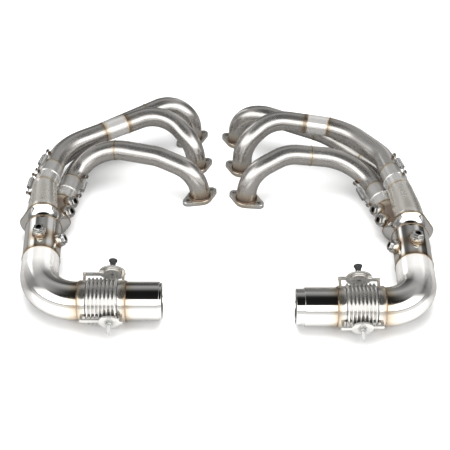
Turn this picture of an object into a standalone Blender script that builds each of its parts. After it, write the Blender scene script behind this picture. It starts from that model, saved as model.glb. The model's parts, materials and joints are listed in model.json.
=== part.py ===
"""Racing exhaust: the two banks of a flat-six header set, laid out on the floor.

Each bank has three primaries with two-bolt cylinder flanges, a three-into-one
merge collector with spring-held slip cups, a swept elbow, a pinned bellows and
an outlet pipe with a telescoping sleeve.  Metres, +Z up, floor at z = 0.
"""

import math

import bmesh
import bpy
from mathutils import Matrix, Vector

# ---------------------------------------------------------------- dimensions
GAP = 0.0003              # kept between pieces that touch in the real object
SIDES = 12                # facets round a primary
BORE_SPACING = 0.118      # from one cylinder to the next

PRIMARY_R = 0.02222       # 1.75 in tube
PRIMARY_WALL = 0.0020
INSERT_DEPTH = 0.026      # primary inside its cup

FLANGE_T = 0.010
FLANGE_HALF = 0.0445      # centre to ear tip
FLANGE_EAR_R = 0.0110
FLANGE_STUD = 0.0330      # centre to stud hole
FLANGE_HOLE_R = 0.0045
FLANGE_HUB_R = 0.0270

CUP_R = 0.0254
CUP_BORE_R = 0.0236
CUP_LENGTH = 0.029
KNEE = 0.034              # lip to the bend where the branch starts
CUP_LIP_R = 0.0266
CUP_LIP_LENGTH = 0.0035
BRANCH_R = 0.0243
BRANCH_BORE_R = 0.0212
MERGE_RADIUS = 0.0250     # branch axes from the collector axis at the cone

PIPE_R = 0.0381           # 3 in tube
PIPE_WALL = 0.0018
RING_TILT = 0.32          # the cone's rear edge runs forward as it rises
CONE_LENGTH = 0.036
CONE_WALL = 0.0022
AXIS_Z = 0.0463           # height of collector body, elbow and outlet

COLLAR_R = 0.0405
COLLAR_LENGTH = 0.0150
BELLOWS_CREST_R = 0.0460
BELLOWS_TROUGH_R = 0.0400
BELLOWS_WALL = 0.0013
BELLOWS_WAVES = 8
SLEEVE_R = 0.0357
SLEEVE_WALL = 0.0020
SLEEVE_INSIDE = 0.045

PIN_TILT = math.radians(18.0)   # front of the hinge pin line points down
EAR_T = 0.0030
PIN_LIFT = 0.0080         # pin line above the pipe axis
FRONT_EAR_R = 0.0210
REAR_EAR_R = 0.0265
INNER_EAR_R = 0.0180
STRAP_HALF = 0.0075       # half width of the strap from an ear to its collar
FOOT_T = 0.0050
COLLAR_BORE_R = 0.0385
FRONT_EAR = 0.0524        # pipe axis to the inner face of the front ears
REAR_EAR = 0.0560
PIN_R = 0.0036

BUNG_R = 0.0140
BUNG_BORE_R = 0.0090
BUNG_HEIGHT = 0.0100
PLUG_FLATS_R = 0.0115
PLUG_HEAD = 0.0060
PLUG_SHANK_R = 0.0084

WIRE_R = 0.0011
COIL_R = 0.0052
COIL_TURNS = 7
COIL_FROM = 0.24          # share of the spring's length where the coil begins
COIL_TO = 0.74
LOOP_LENGTH = 0.0048      # half sizes of the loop round a tab
LOOP_WIDTH = 0.0036
LOOP_H = 0.0075           # loop above the tube or cup
TAB_H = 0.0100
TAB_T = 0.0022
TAB_AHEAD = 0.008         # tab on the cup, ahead of its lip

ORIGIN_SHIFT = Vector((0.0001, 0.01565, 0.0))   # centres both banks over the origin

STEEL = (0.62, 0.60, 0.57)
POLISHED = (0.80, 0.79, 0.78)
BRIGHT = (0.70, 0.69, 0.67)
FASTENER = (0.66, 0.66, 0.66)
BLACK = (0.02, 0.02, 0.02)

# Hand-laid routes.  Each primary lists its corner points after the flange and
# before its cup; the cup point is the centre of the cup's lip.
BANKS = {
    "left": {
        "flange_line": Vector((-0.0953, 0.9955, 0.0)),
        "flange_front": Vector((-0.0565, 0.0970, 0.0)),
        "flange_angle": math.radians(37.5),
        "ring": Vector((-0.3838, -0.0380, AXIS_Z)),
        "corner": Vector((-0.3645, -0.2990, AXIS_Z)),
        "elbow": 0.0840,
        "stub": 0.0460,          # straight before the bend
        "inward": 1.0,
        "cups": {
            "rear": Vector((-0.4000, 0.0480, 0.0450)),
            "middle": Vector((-0.3810, 0.0490, 0.0930)),
            "front": Vector((-0.3470, 0.0540, 0.0475)),
        },
        "lobes": {"rear": 210.0, "middle": 90.0, "front": 330.0},
        "routes": {
            "rear": [
                ((-0.0785, 0.3320, 0.0635), 0.062),
                ((-0.1270, 0.3345, 0.1050), 0.063),
                ((-0.3200, 0.2345, 0.0690), 0.120),
                ((-0.3970, 0.1550, 0.0525), 0.081),
            ],
            "middle": [
                ((-0.0675, 0.2145, 0.0615), 0.067),
                ((-0.1420, 0.2815, 0.1175), 0.079),
                ((-0.2615, 0.2165, 0.1060), 0.120),
                ((-0.3635, 0.1520, 0.1015), 0.121),
            ],
            "front": [
                ((-0.0565, 0.0970, 0.0670), 0.068),
                ((-0.1490, 0.1280, 0.0935), 0.085),
                ((-0.2755, 0.1580, 0.0990), 0.102),
                ((-0.3340, 0.1190, 0.0580), 0.056),
            ],
        },
        "tabs": {"rear": (155.0, 0.056), "middle": (130.0, 0.056), "front": (8.0, 0.056)},
        "bungs": {
            "merge_rear": ("front", 0.008, 58.0),
            "merge_front": ("front", 0.038, 58.0),
            "body_top": ("body", 0.059, -2.0),
            "body_side": ("body", 0.060, 66.0),
        },
        "outlet": (-0.1920, 0.0610, 0.0650),
        "sleeve_out": 0.005,
        "pin_shift": 0.016,
    },
    "right": {
        "flange_line": Vector((-0.0714, 0.9974, 0.0)),
        "flange_front": Vector((0.0480, 0.0870, 0.0)),
        "flange_angle": math.radians(144.5),
        "ring": Vector((0.3870, -0.0660, AXIS_Z)),
        "corner": Vector((0.3765, -0.3160, AXIS_Z)),
        "elbow": 0.0705,
        "stub": 0.0500,
        "inward": -1.0,
        "cups": {
            "rear": Vector((0.3900, 0.0260, 0.0440)),
            "middle": Vector((0.3660, 0.0336, 0.0940)),
            "front": Vector((0.3390, 0.0285, 0.0485)),
        },
        "lobes": {"rear": 330.0, "middle": 90.0, "front": 210.0},
        "routes": {
            "rear": [
                ((0.0312, 0.3224, 0.0725), 0.056),
                ((0.0860, 0.3060, 0.0915), 0.072),
                ((0.2390, 0.2625, 0.0630), 0.123),
                ((0.3775, 0.1075, 0.0475), 0.090),
            ],
            "middle": [
                ((0.0396, 0.2047, 0.0720), 0.068),
                ((0.1060, 0.2455, 0.1170), 0.083),
                ((0.2700, 0.2220, 0.1050), 0.126),
                ((0.3475, 0.1200, 0.1000), 0.085),
            ],
            "front": [
                ((0.0480, 0.0870, 0.0715), 0.068),
                ((0.1375, 0.1290, 0.0995), 0.085),
                ((0.2605, 0.1360, 0.0825), 0.122),
                ((0.3215, 0.0950, 0.0560), 0.088),
            ],
        },
        "tabs": {"rear": (300.0, 0.056), "middle": (60.0, 0.056), "front": (185.0, 0.079)},
        "bungs": {
            "merge_rear": ("front", 0.006, -66.0),
            "merge_front": ("front", 0.036, -66.0),
            "body_top": ("body", 0.051, 7.0),
            "body_side": ("body", 0.052, -66.0),
        },
        "outlet": (0.2165, 0.0603, 0.0633),
        "sleeve_out": 0.017,
        "pin_shift": 0.0,
    },
}


# ------------------------------------------------------------------- helpers
def clear_scene():
    for item in list(bpy.data.objects):
        bpy.data.objects.remove(item, do_unlink=True)


def material(name, colour, roughness, metallic):
    """A Principled material of its own for one piece."""
    made = bpy.data.materials.new(name)
    made.use_nodes = True
    shader = made.node_tree.nodes["Principled BSDF"]
    shader.inputs["Base Color"].default_value = (*colour, 1.0)
    shader.inputs["Roughness"].default_value = roughness
    shader.inputs["Metallic"].default_value = metallic
    return made


def finish(name, bm, mat, smooth=True):
    """Turns a bmesh into a named object; a cutter or a joined part has no material."""
    bmesh.ops.remove_doubles(bm, verts=bm.verts, dist=1e-6)
    bmesh.ops.recalc_face_normals(bm, faces=bm.faces)
    if bm.calc_volume(signed=True) < 0:
        bmesh.ops.reverse_faces(bm, faces=bm.faces)
    mesh = bpy.data.meshes.new(name)
    bm.to_mesh(mesh)
    bm.free()
    for face in mesh.polygons:
        face.use_smooth = smooth
    made = bpy.data.objects.new(name, mesh)
    bpy.context.scene.collection.objects.link(made)
    if mat:
        mesh.materials.append(material(name, *mat))
    return made


def apply_boolean(target, tool, operation):
    """Applies an exact Boolean of tool on target and removes the tool."""
    tool.hide_render = True
    tool.display_type = "WIRE"
    modifier = target.modifiers.new("join", "BOOLEAN")
    modifier.operation = operation
    modifier.solver = "EXACT"
    modifier.object = tool
    bpy.context.view_layer.objects.active = target
    bpy.ops.object.modifier_apply(modifier=modifier.name)
    bpy.data.objects.remove(tool, do_unlink=True)
    return target


def axis_matrix(origin, direction, hint=Vector((0, 0, 1))):
    """A frame at origin whose Z runs along direction and X lies near hint."""
    z = Vector(direction).normalized()
    x = Vector(hint) - z * z.dot(Vector(hint))
    if x.length < 1e-4:
        x = Vector((1, 0, 0)) - z * z.x
    x.normalize()
    y = z.cross(x)
    made = Matrix((x, y, z)).transposed().to_4x4()
    made.translation = Vector(origin)
    return made


def circle(radius, sides, turn=0.0):
    """Points of a regular polygon in the XY plane."""
    step = math.tau / sides
    return [
        Vector((radius * math.cos(turn + i * step), radius * math.sin(turn + i * step), 0))
        for i in range(sides)
    ]


def bridge_rings(bm, rings, closed):
    """Faces between neighbouring rings of vertices; closed joins last to first."""
    count = len(rings)
    for i in range(count if closed else count - 1):
        low, high = rings[i], rings[(i + 1) % count]
        sides = len(low)
        for j in range(sides):
            k = (j + 1) % sides
            bm.faces.new((low[j], low[k], high[k], high[j]))


def lathe(name, profile, frame, mat, sides=16, hollow=True, smooth=True):
    """A turned piece: profile is (radius, height) along the frame's Z.

    A hollow profile is a closed outline clear of the axis.  A solid one starts
    and ends at flat discs.
    """
    bm = bmesh.new()
    rings = []
    for radius, height in profile:
        ring = [
            bm.verts.new(frame @ (point + Vector((0, 0, height))))
            for point in circle(radius, sides)
        ]
        rings.append(ring)
    bridge_rings(bm, rings, hollow)
    if not hollow:
        bm.faces.new(list(reversed(rings[0])))
        bm.faces.new(rings[-1])
    return finish(name, bm, mat, smooth)


def prism(name, outline, frame, height, mat):
    """A flat plate: outline is a list of (x, y), extruded along the frame's Z."""
    bm = bmesh.new()
    low = [bm.verts.new(frame @ Vector((x, y, 0))) for x, y in outline]
    high = [bm.verts.new(frame @ Vector((x, y, height))) for x, y in outline]
    bridge_rings(bm, [low, high], False)
    bm.faces.new(list(reversed(low)))
    bm.faces.new(high)
    return finish(name, bm, mat, smooth=False)


def route_points(corners, arc_step=math.radians(20.0)):
    """Points of a line with rounded corners: corners is [(point, radius), ...]."""
    points = [Vector(corners[0][0])]
    used = 0.0
    for i in range(1, len(corners) - 1):
        here, radius = Vector(corners[i][0]), corners[i][1]
        back = (Vector(corners[i - 1][0]) - here).normalized()
        ahead = (Vector(corners[i + 1][0]) - here).normalized()
        half = back.angle(ahead) / 2
        reach = radius / math.tan(half)
        if used + reach > (Vector(corners[i - 1][0]) - here).length:
            raise ValueError(f"the bends run into each other at corner {i}")
        used = reach
        centre = here + (back + ahead).normalized() * (radius / math.sin(half))
        start, end = here + back * reach, here + ahead * reach
        turn = math.pi - 2 * half
        steps = max(1, round(turn / arc_step))
        spoke = (start - centre).normalized()
        across = -back
        for j in range(steps + 1):
            angle = turn * j / steps
            points.append(centre + (spoke * math.cos(angle) + across * math.sin(angle)) * radius)
    points.append(Vector(corners[-1][0]))
    return points


def sweep_frames(points, hint):
    """Mitre frames along the points that turn as little as they can."""
    steps = [(after - before).normalized() for before, after in zip(points, points[1:])]
    tangents = [steps[0]]
    tangents += [(before + after).normalized() for before, after in zip(steps, steps[1:])]
    tangents.append(steps[-1])
    frames = [axis_matrix(points[0], tangents[0], hint)]
    for i in range(1, len(points)):
        swing = tangents[i - 1].rotation_difference(tangents[i]).to_matrix()
        turned = (swing @ frames[-1].to_3x3()).to_4x4()
        turned.translation = points[i]
        frames.append(turned)
    return frames


def swept_tube(name, points, radius, wall, mat, sides=SIDES, hint=Vector((0, 1, 0))):
    """A hollow tube along the points, open at both ends."""
    bm = bmesh.new()
    frames = sweep_frames(points, hint)
    shells = []
    for shell_radius in (radius, radius - wall):
        shells.append([
            [bm.verts.new(frame @ point) for point in circle(shell_radius, sides)]
            for frame in frames
        ])
    bridge_rings(bm, shells[0] + shells[1][::-1], True)
    return finish(name, bm, mat)


def swept_solid(name, stations, mat, sides=6, hint=Vector((0, 0, 1))):
    """A solid round bar: stations is a list of (point, radius)."""
    bm = bmesh.new()
    frames = sweep_frames([point for point, _ in stations], hint)
    rings = [
        [bm.verts.new(frame @ point) for point in circle(radius, sides)]
        for frame, (_, radius) in zip(frames, stations)
    ]
    bridge_rings(bm, rings, False)
    bm.faces.new(list(reversed(rings[0])))
    bm.faces.new(rings[-1])
    return finish(name, bm, mat)


def set_origin(item, point):
    """Moves an object's origin to a point without moving its mesh."""
    item.data.transform(Matrix.Translation(-Vector(point)))
    item.location = point


SATIN = (STEEL, 0.32, 1.0)
MIRROR = (POLISHED, 0.06, 1.0)
SHINY = (BRIGHT, 0.18, 1.0)
ZINC = (FASTENER, 0.25, 1.0)
RUBBER = (BLACK, 0.75, 0.0)


# -------------------------------------------------------------------- pieces
def flange_centre(bank, place):
    """Centre of a cylinder flange on the floor."""
    number = ("front", "middle", "rear").index(place)
    return bank["flange_front"] + bank["flange_line"] * (BORE_SPACING * number)


def flange(name, centre, angle):
    """Two-bolt plate: a hub and two ears, joined by tangents."""
    outline = []
    lean = math.acos((FLANGE_HUB_R - FLANGE_EAR_R) / (FLANGE_HALF - FLANGE_EAR_R))
    for side in (0.0, math.pi):
        for i in range(5):
            turn = side - lean + 2 * lean * i / 4
            shift = (FLANGE_HALF - FLANGE_EAR_R) * math.cos(side)
            outline.append((
                shift + FLANGE_EAR_R * math.cos(turn),
                FLANGE_EAR_R * math.sin(turn),
            ))
        first, last = side + lean, side + math.pi - lean
        for i in range(4):
            turn = first + (last - first) * i / 3
            outline.append((FLANGE_HUB_R * math.cos(turn), FLANGE_HUB_R * math.sin(turn)))
    frame = Matrix.Translation(centre) @ Matrix.Rotation(angle, 4, "Z")
    plate = prism(name, outline, frame, FLANGE_T, SHINY)
    port = PRIMARY_R - PRIMARY_WALL
    holes = [(0.0, port, 16), (FLANGE_STUD, FLANGE_HOLE_R, 12), (-FLANGE_STUD, FLANGE_HOLE_R, 12)]
    for shift, radius, sides in holes:
        spot = frame @ Matrix.Translation((shift, 0, -0.005))
        drill = lathe("drill", [(radius, 0), (radius, 0.02)], spot, None, sides, False)
        apply_boolean(plate, drill, "DIFFERENCE")
    for face in plate.data.polygons:
        face.use_smooth = False
    return plate


def cup_axis(bank, place):
    """Lip centre of a slip cup and the direction into it."""
    lip = bank["cups"][place]
    return lip, (lip - Vector(bank["routes"][place][-1][0])).normalized()


def branch_ends(bank, place):
    """Knee behind the cup and the point where the branch meets the cone."""
    lip, into = cup_axis(bank, place)
    forward = (bank["corner"] - bank["ring"]).normalized()
    aside = Vector((0, 0, 1)).cross(forward)
    turn = math.radians(bank["lobes"][place])
    offset = (aside * math.cos(turn) + Vector((0, 0, 1)) * math.sin(turn)) * MERGE_RADIUS
    return lip + into * KNEE, bank["ring"] + offset


def spring_tab(base, outward, along):
    """A small welded post with a head, which a spring's loop goes round."""
    side = along.cross(outward)
    frame = Matrix((outward, along, -side)).transposed().to_4x4()
    frame.translation = base + side * TAB_T / 2
    half = [
        (-0.0013, 0.0046), (0.0036, 0.0046), (0.0048, 0.0022),
        (TAB_H - 0.0016, 0.0022), (TAB_H - 0.0012, 0.0034), (TAB_H + 0.0012, 0.0034),
    ]
    outline = [(x, -y) for x, y in half] + half[::-1]
    return prism("tab", outline, frame, TAB_T, None)


def radial(frame, degrees):
    """Direction square to the frame's Z, turned from world up toward +X."""
    z = (frame.to_3x3() @ Vector((0, 0, 1))).normalized()
    up = Vector((0, 0, 1))
    up = (up - z * z.dot(up)).normalized()
    right = Vector((1, 0, 0))
    right = (right - z * z.dot(right) - up * up.dot(right)).normalized()
    turn = math.radians(degrees)
    return up * math.cos(turn) + right * math.sin(turn)


def tab_direction(bank, place, branch_dir):
    """Where the spring sits round a cup, 0 along +X and 90 upward."""
    frame = axis_matrix(Vector((0, 0, 0)), branch_dir)
    return radial(frame, 90.0 - bank["tabs"][place][0])


def primary_route(bank, place):
    """Centreline of a primary, from its flange to the end inside its cup."""
    lip, into = cup_axis(bank, place)
    corners = [(Vector(point), radius) for point, radius in bank["routes"][place]]
    foot = corners[0][0].copy()
    foot.z = FLANGE_T + GAP
    return route_points([(foot, 0), *corners, (lip + into * INSERT_DEPTH, 0)])


def tab_spots(bank, place):
    """Foot, outward and lengthwise directions of the two spring tabs."""
    lip, into = cup_axis(bank, place)
    wanted = tab_direction(bank, place, into)
    ahead = (lip + into * TAB_AHEAD + wanted * CUP_R, wanted, into)
    left = INSERT_DEPTH + bank["tabs"][place][1]
    points = primary_route(bank, place)[::-1]
    for near, far in zip(points, points[1:]):
        step = (near - far).length
        if left <= step:
            along = (near - far).normalized()
            outward = (wanted - along * along.dot(wanted)).normalized()
            return (near - along * left + outward * PRIMARY_R, outward, along), ahead
        left -= step
    raise ValueError("the tab lies past the end of the primary")


def primary(side, bank, place):
    points = primary_route(bank, place)
    tube = swept_tube(f"{side}_{place}_primary", points, PRIMARY_R, PRIMARY_WALL, SATIN)
    back, _ = tab_spots(bank, place)
    return apply_boolean(tube, spring_tab(*back), "UNION")


def merge_collector(side, bank):
    """Three branch tubes with slip cups, welded up into one piece."""
    name = f"{side}_merge_collector"
    forward = (bank["corner"] - bank["ring"]).normalized()
    whole, bores = None, []
    for place in ("rear", "middle", "front"):
        lip, into = cup_axis(bank, place)
        knee, merge = branch_ends(bank, place)
        outer = [(lip + into * ahead, radius) for radius, ahead in (
            (CUP_LIP_R, 0), (CUP_LIP_R, CUP_LIP_LENGTH), (CUP_R, CUP_LIP_LENGTH + 0.0015),
            (CUP_R, CUP_LENGTH), (BRANCH_R, KNEE),
        )]
        outer += [(merge, BRANCH_R), (merge + forward * 0.020, BRANCH_R)]
        inner = [
            (lip - into * 0.002, CUP_BORE_R), (lip + into * CUP_LENGTH, CUP_BORE_R),
            (knee, BRANCH_BORE_R), (merge, BRANCH_BORE_R), (merge + forward * 0.022, BRANCH_BORE_R),
        ]
        solid = swept_solid("branch" if whole else name, outer, None if whole else SATIN, 16)
        _, ahead = tab_spots(bank, place)
        apply_boolean(solid, spring_tab(*ahead), "UNION")
        bores.append(swept_solid("bore", inner, None, 16))
        whole = apply_boolean(whole, solid, "UNION") if whole else solid
    for bore in bores:
        apply_boolean(whole, bore, "DIFFERENCE")
    square = [(-0.08, -0.07), (0.08, -0.07), (0.08, 0.07), (-0.08, 0.07)]
    tilted = forward - Vector((0, 0, RING_TILT))
    stop = prism("stop", square, axis_matrix(bank["ring"], tilted), 0.05, None)
    apply_boolean(whole, stop, "DIFFERENCE")
    for label, (where, _, _) in bank["bungs"].items():
        if where != "body":
            drill_for_bung(whole, bung_frame(bank, label))
    return whole


def lobe_radius(angle, lobe_r, lobe_d):
    """Outline round three equal circles, by angle; lobes at 90, 210 and 330."""
    delta = (angle - math.pi / 2 + math.pi / 3) % (2 * math.pi / 3) - math.pi / 3
    between = math.pi / 3 - abs(delta)
    flat = lobe_d / 2 + lobe_r
    if math.tan(between) <= lobe_d * math.sin(math.pi / 3) / flat:
        return flat / math.cos(between)
    reach = lobe_d * math.sin(delta)
    return lobe_d * math.cos(delta) + math.sqrt(lobe_r ** 2 - reach ** 2)


def cone(side, bank):
    """Lofts the three-lobed merge outline down to the round collector body."""
    frame = axis_matrix(bank["ring"], bank["corner"] - bank["ring"])
    bm = bmesh.new()
    sides, steps = 24, 5
    shells = []
    for inset in (0.0, CONE_WALL):
        rings = []
        for i in range(steps + 1):
            share = i / steps
            ease = share * share * (3 - 2 * share)
            ring = []
            for j in range(sides):
                angle = math.tau * j / sides
                start = lobe_radius(angle + math.pi / 2, BRANCH_R + 0.0012, MERGE_RADIUS)
                radius = start + (PIPE_R - start) * ease - inset
                rear = radius * math.cos(angle) * RING_TILT + GAP * 1.2
                ring.append(bm.verts.new(frame @ Vector((
                    radius * math.cos(angle), radius * math.sin(angle),
                    rear + (CONE_LENGTH - rear) * share,
                ))))
            rings.append(ring)
        shells.append(rings)
    bridge_rings(bm, shells[0] + shells[1][::-1], True)
    return finish(f"{side}_merge_cone", bm, MIRROR)


def body_start(bank):
    forward = (bank["corner"] - bank["ring"]).normalized()
    return bank["ring"] + forward * CONE_LENGTH, forward


def elbow_reach(bank):
    """Distance along each leg from the elbow's corner to where its bend starts."""
    _, forward = body_start(bank)
    inward = Vector((bank["inward"], 0, 0))
    return bank["elbow"] * math.tan(forward.angle(inward) / 2)


def collector_body(side, bank):
    start, forward = body_start(bank)
    length = (bank["corner"] - start).length - elbow_reach(bank) - bank["stub"] - 2 * GAP
    frame = axis_matrix(start + forward * GAP, forward)
    inner = PIPE_R - PIPE_WALL
    profile = [(PIPE_R, 0), (PIPE_R, length), (inner, length), (inner, 0)]
    tube = lathe(f"{side}_collector_body", profile, frame, MIRROR, 20)
    for label, (where, _, _) in bank["bungs"].items():
        if where == "body":
            drill_for_bung(tube, bung_frame(bank, label))
    return tube


def bung_frame(bank, label):
    """Frame on the tube's surface, Z outward."""
    where, distance, turn = bank["bungs"][label]
    if where == "body":
        start, direction = body_start(bank)
        radius = PIPE_R
    else:
        start, merge = branch_ends(bank, where)
        direction = (merge - start).normalized()
        radius = BRANCH_R
    out = radial(axis_matrix(start, direction), turn)
    return axis_matrix(start + direction * distance + out * radius, out, direction)


def drill_for_bung(tube, frame):
    """The hole that the bung is welded into."""
    spot = frame @ Matrix.Translation((0, 0, -0.012))
    hole = BUNG_BORE_R + 0.0028
    drill = lathe("drill", [(hole, 0), (hole, 0.024)], spot, None, 12, False)
    apply_boolean(tube, drill, "DIFFERENCE")


def bung(name, frame, radius):
    """A threaded boss that stands in the tube's wall on a flat shoulder."""
    sag = radius - math.sqrt(radius ** 2 - BUNG_R ** 2)
    neck = BUNG_BORE_R + 0.0024
    foot = 0.0016
    profile = [
        (neck, -min(sag, 0.004)), (neck, foot), (BUNG_R, foot), (BUNG_R, BUNG_HEIGHT - 0.001),
        (BUNG_R - 0.001, BUNG_HEIGHT), (BUNG_BORE_R, BUNG_HEIGHT), (BUNG_BORE_R, -min(sag, 0.004)),
    ]
    return lathe(name, profile, frame, SHINY, 12)


def plug(name, frame):
    """A hex plug screwed into the bung, with a hollow head."""
    seat = BUNG_HEIGHT + GAP
    spot = frame @ Matrix.Translation((0, 0, seat))
    head = lathe(name, [(PLUG_FLATS_R, 0), (PLUG_FLATS_R, PLUG_HEAD)], spot, ZINC, 6, False, False)
    shank_frame = frame @ Matrix.Translation((0, 0, seat - 0.0085))
    shank = lathe("shank", [(PLUG_SHANK_R, 0), (PLUG_SHANK_R, 0.009)], shank_frame, None, 12, False)
    apply_boolean(head, shank, "UNION")
    socket_frame = frame @ Matrix.Translation((0, 0, seat + PLUG_HEAD - 0.004))
    socket = lathe("socket", [(0.0058, 0), (0.0058, 0.008)], socket_frame, None, 6, False)
    return apply_boolean(head, socket, "DIFFERENCE")


def leg_stations(bank):
    """X of the elbow's end, inlet collar, bellows, outlet collar and pipe."""
    inward = bank["inward"]
    start, bellows, pipe = bank["outlet"]
    stations = {"pipe_start": start}
    stations["outlet_collar"] = stations["pipe_start"] - inward * COLLAR_LENGTH
    stations["bellows"] = stations["outlet_collar"] - inward * bellows
    stations["inlet_collar"] = stations["bellows"] - inward * COLLAR_LENGTH
    stations["pipe_end"] = stations["pipe_start"] + inward * pipe
    return stations


def leg_frame(bank, x):
    """Frame on the outlet axis at x, Z toward the outlet."""
    corner = bank["corner"]
    return axis_matrix(Vector((x, corner.y, AXIS_Z)), Vector((bank["inward"], 0, 0)))


def elbow(side, bank):
    start, forward = body_start(bank)
    inward = Vector((bank["inward"], 0, 0))
    end = Vector((leg_stations(bank)["inlet_collar"], bank["corner"].y, AXIS_Z))
    first = bank["corner"] - forward * (elbow_reach(bank) + bank["stub"])
    corners = [(first, 0), (bank["corner"], bank["elbow"]), (end - inward * GAP, 0)]
    points = route_points(corners, math.radians(11.5))
    return swept_tube(f"{side}_elbow", points, PIPE_R, PIPE_WALL, MIRROR, 20, Vector((0, 0, 1)))


def pin_line(bank):
    """A point on the bellows hinge and its direction, pointing up and back."""
    stations = leg_stations(bank)
    middle = stations["outlet_collar"] - bank["inward"] * bank["outlet"][1] / 2
    x = middle + bank["inward"] * bank["pin_shift"]
    direction = Vector((0, math.cos(PIN_TILT), math.sin(PIN_TILT)))
    return Vector((x, bank["corner"].y, AXIS_Z + PIN_LIFT)), direction


def ear_arm(pin, out, inner_face, radius, reach):
    """A round-ended plate across the pin, with a foot down onto its collar.

    Reach is the signed distance along the frame's X from the pin to the middle
    of the collar.
    """
    frame = axis_matrix(pin + out * inner_face, out, Vector((1, 0, 0)))
    away = math.copysign(1.0, reach)
    start = math.asin(STRAP_HALF / radius)
    tip = reach + away * FOOT_T * 0.72
    outline = [(tip, -STRAP_HALF * away), (tip, STRAP_HALF * away)]
    for i in range(13):
        turn = start + (math.tau - 2 * start) * i / 12
        outline.append((away * radius * math.cos(turn), away * radius * math.sin(turn)))
    plate = prism("plate", outline, frame, EAR_T, None)
    width = STRAP_HALF * 0.84
    foot_frame = axis_matrix(pin + out * (COLLAR_R - 0.006), out, Vector((1, 0, 0)))
    low, high = reach - FOOT_T / 2, reach + FOOT_T / 2
    foot = prism("foot", [(low, -width), (high, -width), (high, width), (low, width)],
                 foot_frame, inner_face - COLLAR_R + 0.006 + EAR_T * 0.6, None)
    return apply_boolean(plate, foot, "UNION")


def collar(side, bank, end):
    """A welded collar with two hinge ears, one in front and one behind."""
    stations = leg_stations(bank)
    inward = bank["inward"]
    pin, direction = pin_line(bank)
    start = stations[f"{end}_collar"]
    length = COLLAR_LENGTH - 2 * GAP
    frame = leg_frame(bank, start + inward * GAP)
    ring = lathe(f"{side}_{end}_collar", [(COLLAR_R, 0), (COLLAR_R, length)], frame, SHINY, 20, False)
    reach = start + inward * COLLAR_LENGTH / 2 - pin.x
    outer = end == "outlet"
    layer = 0.0 if outer else EAR_T + GAP
    for out, face, radius in ((-direction, FRONT_EAR, FRONT_EAR_R), (direction, REAR_EAR, REAR_EAR_R)):
        arm = ear_arm(pin, out, face - layer, radius if outer else INNER_EAR_R, reach)
        apply_boolean(ring, arm, "UNION")
        pin_frame = axis_matrix(pin + out * (face - 0.01), out)
        drill = lathe("drill", [(PIN_R + GAP, 0), (PIN_R + GAP, 0.02)], pin_frame, None, 10, False)
        apply_boolean(ring, drill, "DIFFERENCE")
    bore_frame = leg_frame(bank, start - inward * 0.002)
    bore = lathe("bore", [(COLLAR_BORE_R, 0), (COLLAR_BORE_R, COLLAR_LENGTH + 0.004)],
                 bore_frame, None, 20, False)
    return apply_boolean(ring, bore, "DIFFERENCE")


def bellows(side, bank):
    """Eight round waves in thin sheet between the two collars."""
    stations = leg_stations(bank)
    length = bank["outlet"][1] - 2 * GAP
    frame = leg_frame(bank, stations["bellows"] + bank["inward"] * GAP)
    pitch = length / BELLOWS_WAVES
    outer = [(BELLOWS_TROUGH_R, 0)]
    for i in range(BELLOWS_WAVES):
        outer.append((BELLOWS_CREST_R, (i + 0.35) * pitch))
        outer.append((BELLOWS_CREST_R, (i + 0.65) * pitch))
        outer.append((BELLOWS_TROUGH_R, (i + 1) * pitch))
    liner = BELLOWS_TROUGH_R - BELLOWS_WALL
    return lathe(f"{side}_bellows", outer + [(liner, length), (liner, 0)], frame, SHINY, 16)


def outlet_pipe(side, bank):
    stations = leg_stations(bank)
    length = abs(stations["pipe_end"] - stations["pipe_start"])
    frame = leg_frame(bank, stations["pipe_start"] + bank["inward"] * GAP)
    inner = PIPE_R - PIPE_WALL * 0.8
    profile = [(PIPE_R, 0), (PIPE_R, length), (inner, length), (inner, 0)]
    return lathe(f"{side}_outlet_pipe", profile, frame, MIRROR, 20)


def outlet_sleeve(side, bank):
    stations = leg_stations(bank)
    start = stations["pipe_end"] - bank["inward"] * SLEEVE_INSIDE
    length = SLEEVE_INSIDE + bank["sleeve_out"]
    frame = leg_frame(bank, start)
    inner = SLEEVE_R - SLEEVE_WALL
    profile = [(SLEEVE_R, 0), (SLEEVE_R, length), (inner, length), (inner, 0)]
    sleeve = lathe(f"{side}_outlet_sleeve", profile, frame, MIRROR, 20)
    set_origin(sleeve, (stations["pipe_end"], bank["corner"].y, AXIS_Z))
    return sleeve


def hinge_pins(side, bank):
    """Front stud with its nut, rear stud with its rubber cap."""
    pin, direction = pin_line(bank)
    stack = EAR_T + GAP
    front = axis_matrix(pin - direction * (FRONT_EAR - stack), -direction)
    profile = [(PIN_R, 0), (PIN_R, 0.0315), (PIN_R - 0.0008, 0.0325)]
    lathe(f"{side}_front_hinge_stud", profile, front, ZINC, 10, False)
    spot = front @ Matrix.Translation((0, 0, 2 * stack))
    bore = (PIN_R + GAP) / math.cos(math.pi / 6)
    nut_profile = [(0.0074, 0), (0.0074, 0.006), (bore, 0.006), (bore, 0)]
    lathe(f"{side}_front_hinge_nut", nut_profile, spot, ZINC, 6, True, False)
    rear = axis_matrix(pin + direction * (REAR_EAR - stack), direction)
    shoulder = 2 * stack
    profile = [
        (PIN_R, 0), (PIN_R, shoulder), (0.0062, shoulder), (0.0062, shoulder + 0.007),
        (PIN_R, shoulder + 0.007), (PIN_R, 0.0320),
    ]
    lathe(f"{side}_rear_hinge_stud", profile, rear, ZINC, 10, False)
    bore = PIN_R + 0.0004
    spot = rear @ Matrix.Translation((0, 0, 0.0215))
    cap = [
        (0.0054, 0), (0.0060, 0.005), (0.0086, 0.0105), (0.0086, 0.0125), (bore, 0.0125), (bore, 0),
    ]
    lathe(f"{side}_rear_hinge_cap", cap, spot, RUBBER, 12)


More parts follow.
